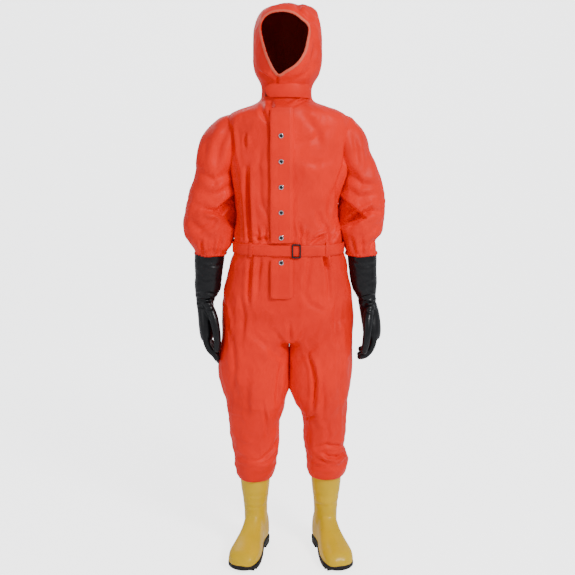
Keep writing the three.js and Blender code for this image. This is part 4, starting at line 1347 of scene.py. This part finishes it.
def stitches(name, path, body, pitch=3.2, long=2.0, thick=0.34):
    """A row of short raised threads along a path of points in the shared frame."""
    work = bmesh.new()
    travelled, wanted = 0.0, 0.0
    for a, b in zip(path[:-1], path[1:]):
        a, b = Vector(a), Vector(b)
        length = (b - a).length
        if length < 1e-7:
            continue
        ahead = (b - a) / length
        while wanted <= travelled + length:
            middle = a + ahead * (wanted - travelled)
            side = ahead.cross(Vector((0, -1, 0)) if abs(ahead.y) < 0.9 else Vector((1, 0, 0))).normalized()
            up = side.cross(ahead)
            ring = [work.verts.new(middle + ahead * (long / 2 * MM * u) + (side * v + up * w) * thick * MM)
                    for u, v, w in ((-1, 0, 0), (-0.5, 1, 0), (-0.5, 0, 1), (-0.5, -1, 0), (-0.5, 0, -1),
                                    (0.5, 1, 0), (0.5, 0, 1), (0.5, -1, 0), (0.5, 0, -1), (1, 0, 0))]
            for k in range(4):
                n = (k + 1) % 4
                work.faces.new((ring[0], ring[1 + n], ring[1 + k]))
                work.faces.new((ring[1 + k], ring[1 + n], ring[5 + n], ring[5 + k]))
                work.faces.new((ring[5 + k], ring[5 + n], ring[9]))
            wanted += pitch * MM
        travelled += length
    mesh = bpy.data.meshes.new(name)
    bmesh.ops.recalc_face_normals(work, faces=work.faces)
    work.to_mesh(mesh)
    work.free()
    piece = new_object(name, mesh)
    mesh.materials.append(M_THREAD)
    smooth(piece)
    if isinstance(body, str):
        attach(piece, body)
    return piece


def flap_surface(x, z):
    """How far the flap stands off the chest: sewn down at one edge, free and slightly lifted at the other."""
    across = (x - FLAP_FREE) / (FLAP_SEAM - FLAP_FREE)
    away = 7.6 + 1.0 * math.sin(math.pi * across) + 2.6 * max(0, 1 - across * 3)
    if across > 0.86:
        away -= 4.6 * ((across - 0.86) / 0.14) ** 1.4
    snap_gap = abs(((SNAP_TOP - z) / SNAP_PITCH + 0.5) % 1 - 0.5)
    wave = 1.5 * snap_gap * 2 + 0.6 * math.sin(z / 23) + 0.4 * math.sin(z / 9.7 + 2)
    away += max(0, 1 - across * 2.2) * wave
    if across < 0.06:
        away -= 1.4 * (1 - across / 0.06) ** 2
    return away


def build_flap(name, low, high, body, nodes):
    columns, rows = 24, max(12, int((high - low) / 6))
    vertices = []
    for r in range(rows + 1):
        z = low + (high - low) * r / rows
        for c in range(columns + 1):
            share = c / columns
            share = share + 0.05 * math.sin(2 * math.pi * share) * -1
            x = FLAP_FREE + (FLAP_SEAM - FLAP_FREE) * share
            if c == 0:
                x += 0.7 * math.sin(z / 31) + 0.4 * math.sin(z / 12)
            cut = z
            if high > 1400:
                top_drop = max(0, (z - 1440) / 19)
                cut = z - 4 * top_drop * max(0, 1 - share * 3)
            if name == "flap_low":
                bottom = max(0, 1 - (z - low) / 14)
                cut = z + bottom * 5 * max(0, abs(share - 0.5) * 2 - 0.55) / 0.45
            vertices.append(at(x, trunk_front(x, min(z, CHEST_TOP), flap_surface(x, z)), cut))
    faces = []
    for r in range(rows):
        for c in range(columns):
            i = r * (columns + 1) + c
            faces.append((i, i + 1, i + columns + 2, i + columns + 1))
    flap = mesh_object(name, vertices, faces, M_FABRIC)
    thicken(flap, 0.0018)
    edge = flap.modifiers.new("edge", "BEVEL")
    edge.width = 0.0006
    edge.segments = 2
    apply_modifiers(flap)
    smooth(flap)
    if body == "front_flap":
        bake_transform(flap)
    else:
        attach(flap, body)
    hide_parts(*nodes)
    inset = 5.5
    for tag, x0 in (("free", FLAP_FREE + inset), ("seam", FLAP_SEAM - 12)):
        path = []
        z = low + 4
        while z < high - 5:
            path.append(at(x0, trunk_front(x0, min(z, CHEST_TOP), flap_surface(x0, z) + 0.05), z))
            z += 2.0
        row = stitches(name + "_stitch_" + tag, path, None if body == "front_flap" else body)
        if body == "front_flap":
            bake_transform(row)


build_belt()
build_flap("flap_high", FLAP_ABOVE_BELT, FLAP_TOP, "front_flap", ["front_flap"])
build_flap("flap_low", FLAP_HEM, FLAP_BELOW_BELT, "torso", ["front_flap_lower"])


def build_seam():
    """The folded rib that sews the flap to the chest, cut where the belt crosses it."""
    rings = []
    for k in range(206):
        z = 1053 + k * (FLAP_TOP - 2 - 1053) / 205
        ring = []
        for j in range(10):
            t = 2 * math.pi * j / 10
            x = FLAP_SEAM - 3.0 + 4.2 * math.cos(t) + 0.3 * math.sin(z / 17)
            ring.append(at(x, trunk_front(x, min(z, CHEST_TOP), 2.6 - 2.6 * math.sin(t)), z))
        rings.append(ring)
    seam = stack_rings("flap_rib", rings, material=M_FABRIC)
    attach(seam, "torso")
    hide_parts("flap_seam")


build_seam()


# ---------------------------------------------------------------- snaps, zip, buckle
def turned(name, profile, centre, material, turns=40):
    """A turned part whose axis runs forwards from centre. The profile is radius and height in millimetres."""
    rings = [[centre + Vector((r * math.cos(t), -h, r * math.sin(t))) * MM
              for t in (2 * math.pi * k / turns for k in range(turns))] for r, h in profile]
    piece = stack_rings(name, rings, material=material)
    work = bmesh.new()
    work.from_mesh(piece.data)
    bmesh.ops.recalc_face_normals(work, faces=work.faces)
    work.to_mesh(piece.data)
    work.free()
    smooth(piece)
    return piece


CAP = [(3.5, -0.4), (7.4, -0.4), (8.0, 0.1), (8.05, 0.7), (7.6, 1.5), (6.9, 2.2), (6.2, 2.5), (5.5, 2.4), (5.0, 1.9),
       (4.7, 1.2), (2.4, 0.7), (0.2, 0.5)]
# dark disc in the middle of each snap dome: a painted reflection of dark surroundings in the nickel, not a part of
# the snap
SNAP_REFLECTION_DISC = [(4.8, 0.5), (4.6, 1.1), (3.6, 1.5), (2.0, 1.7), (0.2, 1.75)]
def build_snap(number):
    z = SNAP_TOP - (number - 1) * SNAP_PITCH
    body = "front_flap" if number < 6 else "torso"
    y = trunk_front(SNAP_X, z, flap_surface(SNAP_X, z))
    cap = turned("snap_dome_%d" % number, CAP, at(SNAP_X, y, z), M_NICKEL)
    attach(cap, body)
    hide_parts("snap_cap_%d" % number)
    # the dark centre disc is painted reflection
    reflection_disc = turned("snap_painted_reflection_%d" % number, SNAP_REFLECTION_DISC, at(SNAP_X, y, z), M_DARK_PLASTIC_AND_REFLECTION)
    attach(reflection_disc, body)
    sewn_y = trunk_front(SNAP_X, z, flap_surface(SNAP_X, z) + 0.02)
    collar = [at(SNAP_X + 9.4 * math.cos(t), sewn_y, z + 9.4 * math.sin(t))
              for t in (2 * math.pi * k / 60 for k in range(61))]
    stitches("snap_stitch_%d" % number, collar, body, 2.4, 1.5, 0.26)


for number in range(1, 7):
    build_snap(number)


def dress(node, material, edge=0.0):
    piece = frame["nodes"][node]
    piece.data.materials.clear()
    piece.data.materials.append(material)
    if edge:
        bevel = piece.modifiers.new("soft_edges", "BEVEL")
        bevel.width = edge
        bevel.segments = 3
        bevel.limit_method = "ANGLE"
        bevel.angle_limit = math.radians(40)
    return piece


for number in range(1, 6):
    dress("snap_stud_%d" % number, M_NICKEL)
dress("zip_slider", M_ZIP, 0.0004)
dress("zip_pull", M_ZIP, 0.0003)
dress("belt_buckle", M_DARK_PLASTIC_AND_REFLECTION, 0.0009)
ZIP_X = -4


def build_zip(name, side):
    low, high = FLAP_ABOVE_BELT + 1, CHEST_TOP
    vertices, faces = [], []
    rows = 120
    for r in range(rows + 1):
        z = low + (high - low) * r / rows
        for j, (dx, out) in enumerate(((0.4, 1.6), (2.0, 1.7), (6.0, 1.4), (10.0, 1.2), (14.4, 0.8))):
            x = ZIP_X + side * dx
            vertices.append(at(x, trunk_front(x, z, out + 0.3 * math.sin(z / 19 + side)), z))
    for r in range(rows):
        for j in range(4):
            i = r * 5 + j
            faces.append((i, i + 1, i + 6, i + 5))
    tape = mesh_object("zip_cloth_" + name, vertices, faces, M_TAPE)
    thicken(tape, 0.0009)
    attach(tape, "torso")
    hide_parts("zip_tape_" + name)
    teeth = bmesh.new()
    z = low + 2 + (1.3 if side > 0 else 0)
    while z < high - 2:
        x0, x1 = ZIP_X - side * 0.6, ZIP_X + side * 3.0
        y = trunk_front(ZIP_X, z, 1.6)
        corners = ((min(x0, x1), 0.8), (min(x0, x1), -1.3), (max(x0, x1), -1.3), (max(x0, x1), 0.8))
        add_bar(teeth, [at(x, y + dy, z + dz) for dz in (0, 1.5) for x, dy in corners])
        z += 2.6
    mesh = bpy.data.meshes.new("zip_teeth_" + name)
    teeth.to_mesh(mesh)
    teeth.free()
    mesh.materials.append(M_ZIP)
    piece = new_object("zip_teeth_" + name, mesh)
    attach(piece, "torso")


for name, side in SIDES:
    build_zip(name, side)


# ---------------------------------------------------------------- face binding and throat tab
def build_binding():
    outline = face_outline(144, 3.2)
    rings = []
    for i, (x, z) in enumerate(outline):
        (ax, az), (bx, bz) = outline[i - 1], outline[(i + 1) % len(outline)]
        ahead = Vector((bx - ax, 0, bz - az)).normalized()
        point, facing = front_of(x, z)
        out = Vector((ahead.z, 0, -ahead.x))
        if out.dot(Vector((x - FACE_X, 0, z - FACE_Z))) < 0:
            out = -out
        facing = facing.normalized()
        if facing.y > 0:
            facing = -facing
        across = (out - facing * out.dot(facing)).normalized()
        pucker = 0.35 * math.sin(i * 1.7) + 0.25 * math.sin(i * 0.61)
        ring = []
        for dx, up in ((-4.4, -2.6), (-4.7, -0.6), (-3.9, 1.0), (-2.2, 1.5), (0.6, 1.5), (2.6, 1.2), (3.8, 0.5),
                       (3.9, -0.4), (0, -0.9), (-3.0, -2.8)):
            ring.append(point + (across * (dx + pucker * 0.5) + facing * (up + 0.3 * pucker)) * MM)
        rings.append(ring)
    rings.append(rings[0])
    piece = stack_rings("face_binding", rings, closed=False, material=M_EDGING)
    work = bmesh.new()
    work.from_mesh(piece.data)
    bmesh.ops.remove_doubles(work, verts=work.verts, dist=1e-6)
    bmesh.ops.recalc_face_normals(work, faces=work.faces)
    work.to_mesh(piece.data)
    work.free()
    smooth(piece)
    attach(piece, "hood")
    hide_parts("face_edging")


build_binding()


def build_throat_tab():
    columns, rows = 46, 12
    vertices, faces = [], []
    for r in range(rows + 1):
        v = r / rows
        for c in range(columns + 1):
            u = c / columns
            x = TAB_RIGHT + (TAB_LEFT + TAB_HINGE_REACH - TAB_RIGHT) * u
            point_in = max(0, 1 - u / 0.12)
            low = TAB_LOW + 3 * math.sin(math.pi * u) - 4 * u + 16 * point_in**1.6
            high = TAB_HIGH - 2 * u - 12 * point_in**1.4 + 2 * math.sin(math.pi * u)
            z = low + (high - low) * v
            angle = (x - NECK_X) / 86
            radius = 82.5 + 2.0 * math.sin(math.pi * u) ** 0.5
            radius += 1.6 * math.sin(math.pi * v) + 1.0 * math.sin(9 * u + 2 * v)
            radius += 3.5 * max(0, 1 - u / 0.2)
            px = NECK_X + radius * math.sin(angle)
            py = NECK_Y - radius * math.cos(angle)
            vertices.append(at(px, py, z))
    for r in range(rows):
        for c in range(columns):
            i = r * (columns + 1) + c
            faces.append((i, i + 1, i + columns + 2, i + columns + 1))
    tab = mesh_object("throat_strap", vertices, faces, M_FABRIC)
    thicken(tab, 0.002)
    subdivide(tab)
    smooth(tab)
    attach(tab, "throat_tab")
    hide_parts("throat_tab")


build_throat_tab()
dress("tab_fastener", M_TAPE)
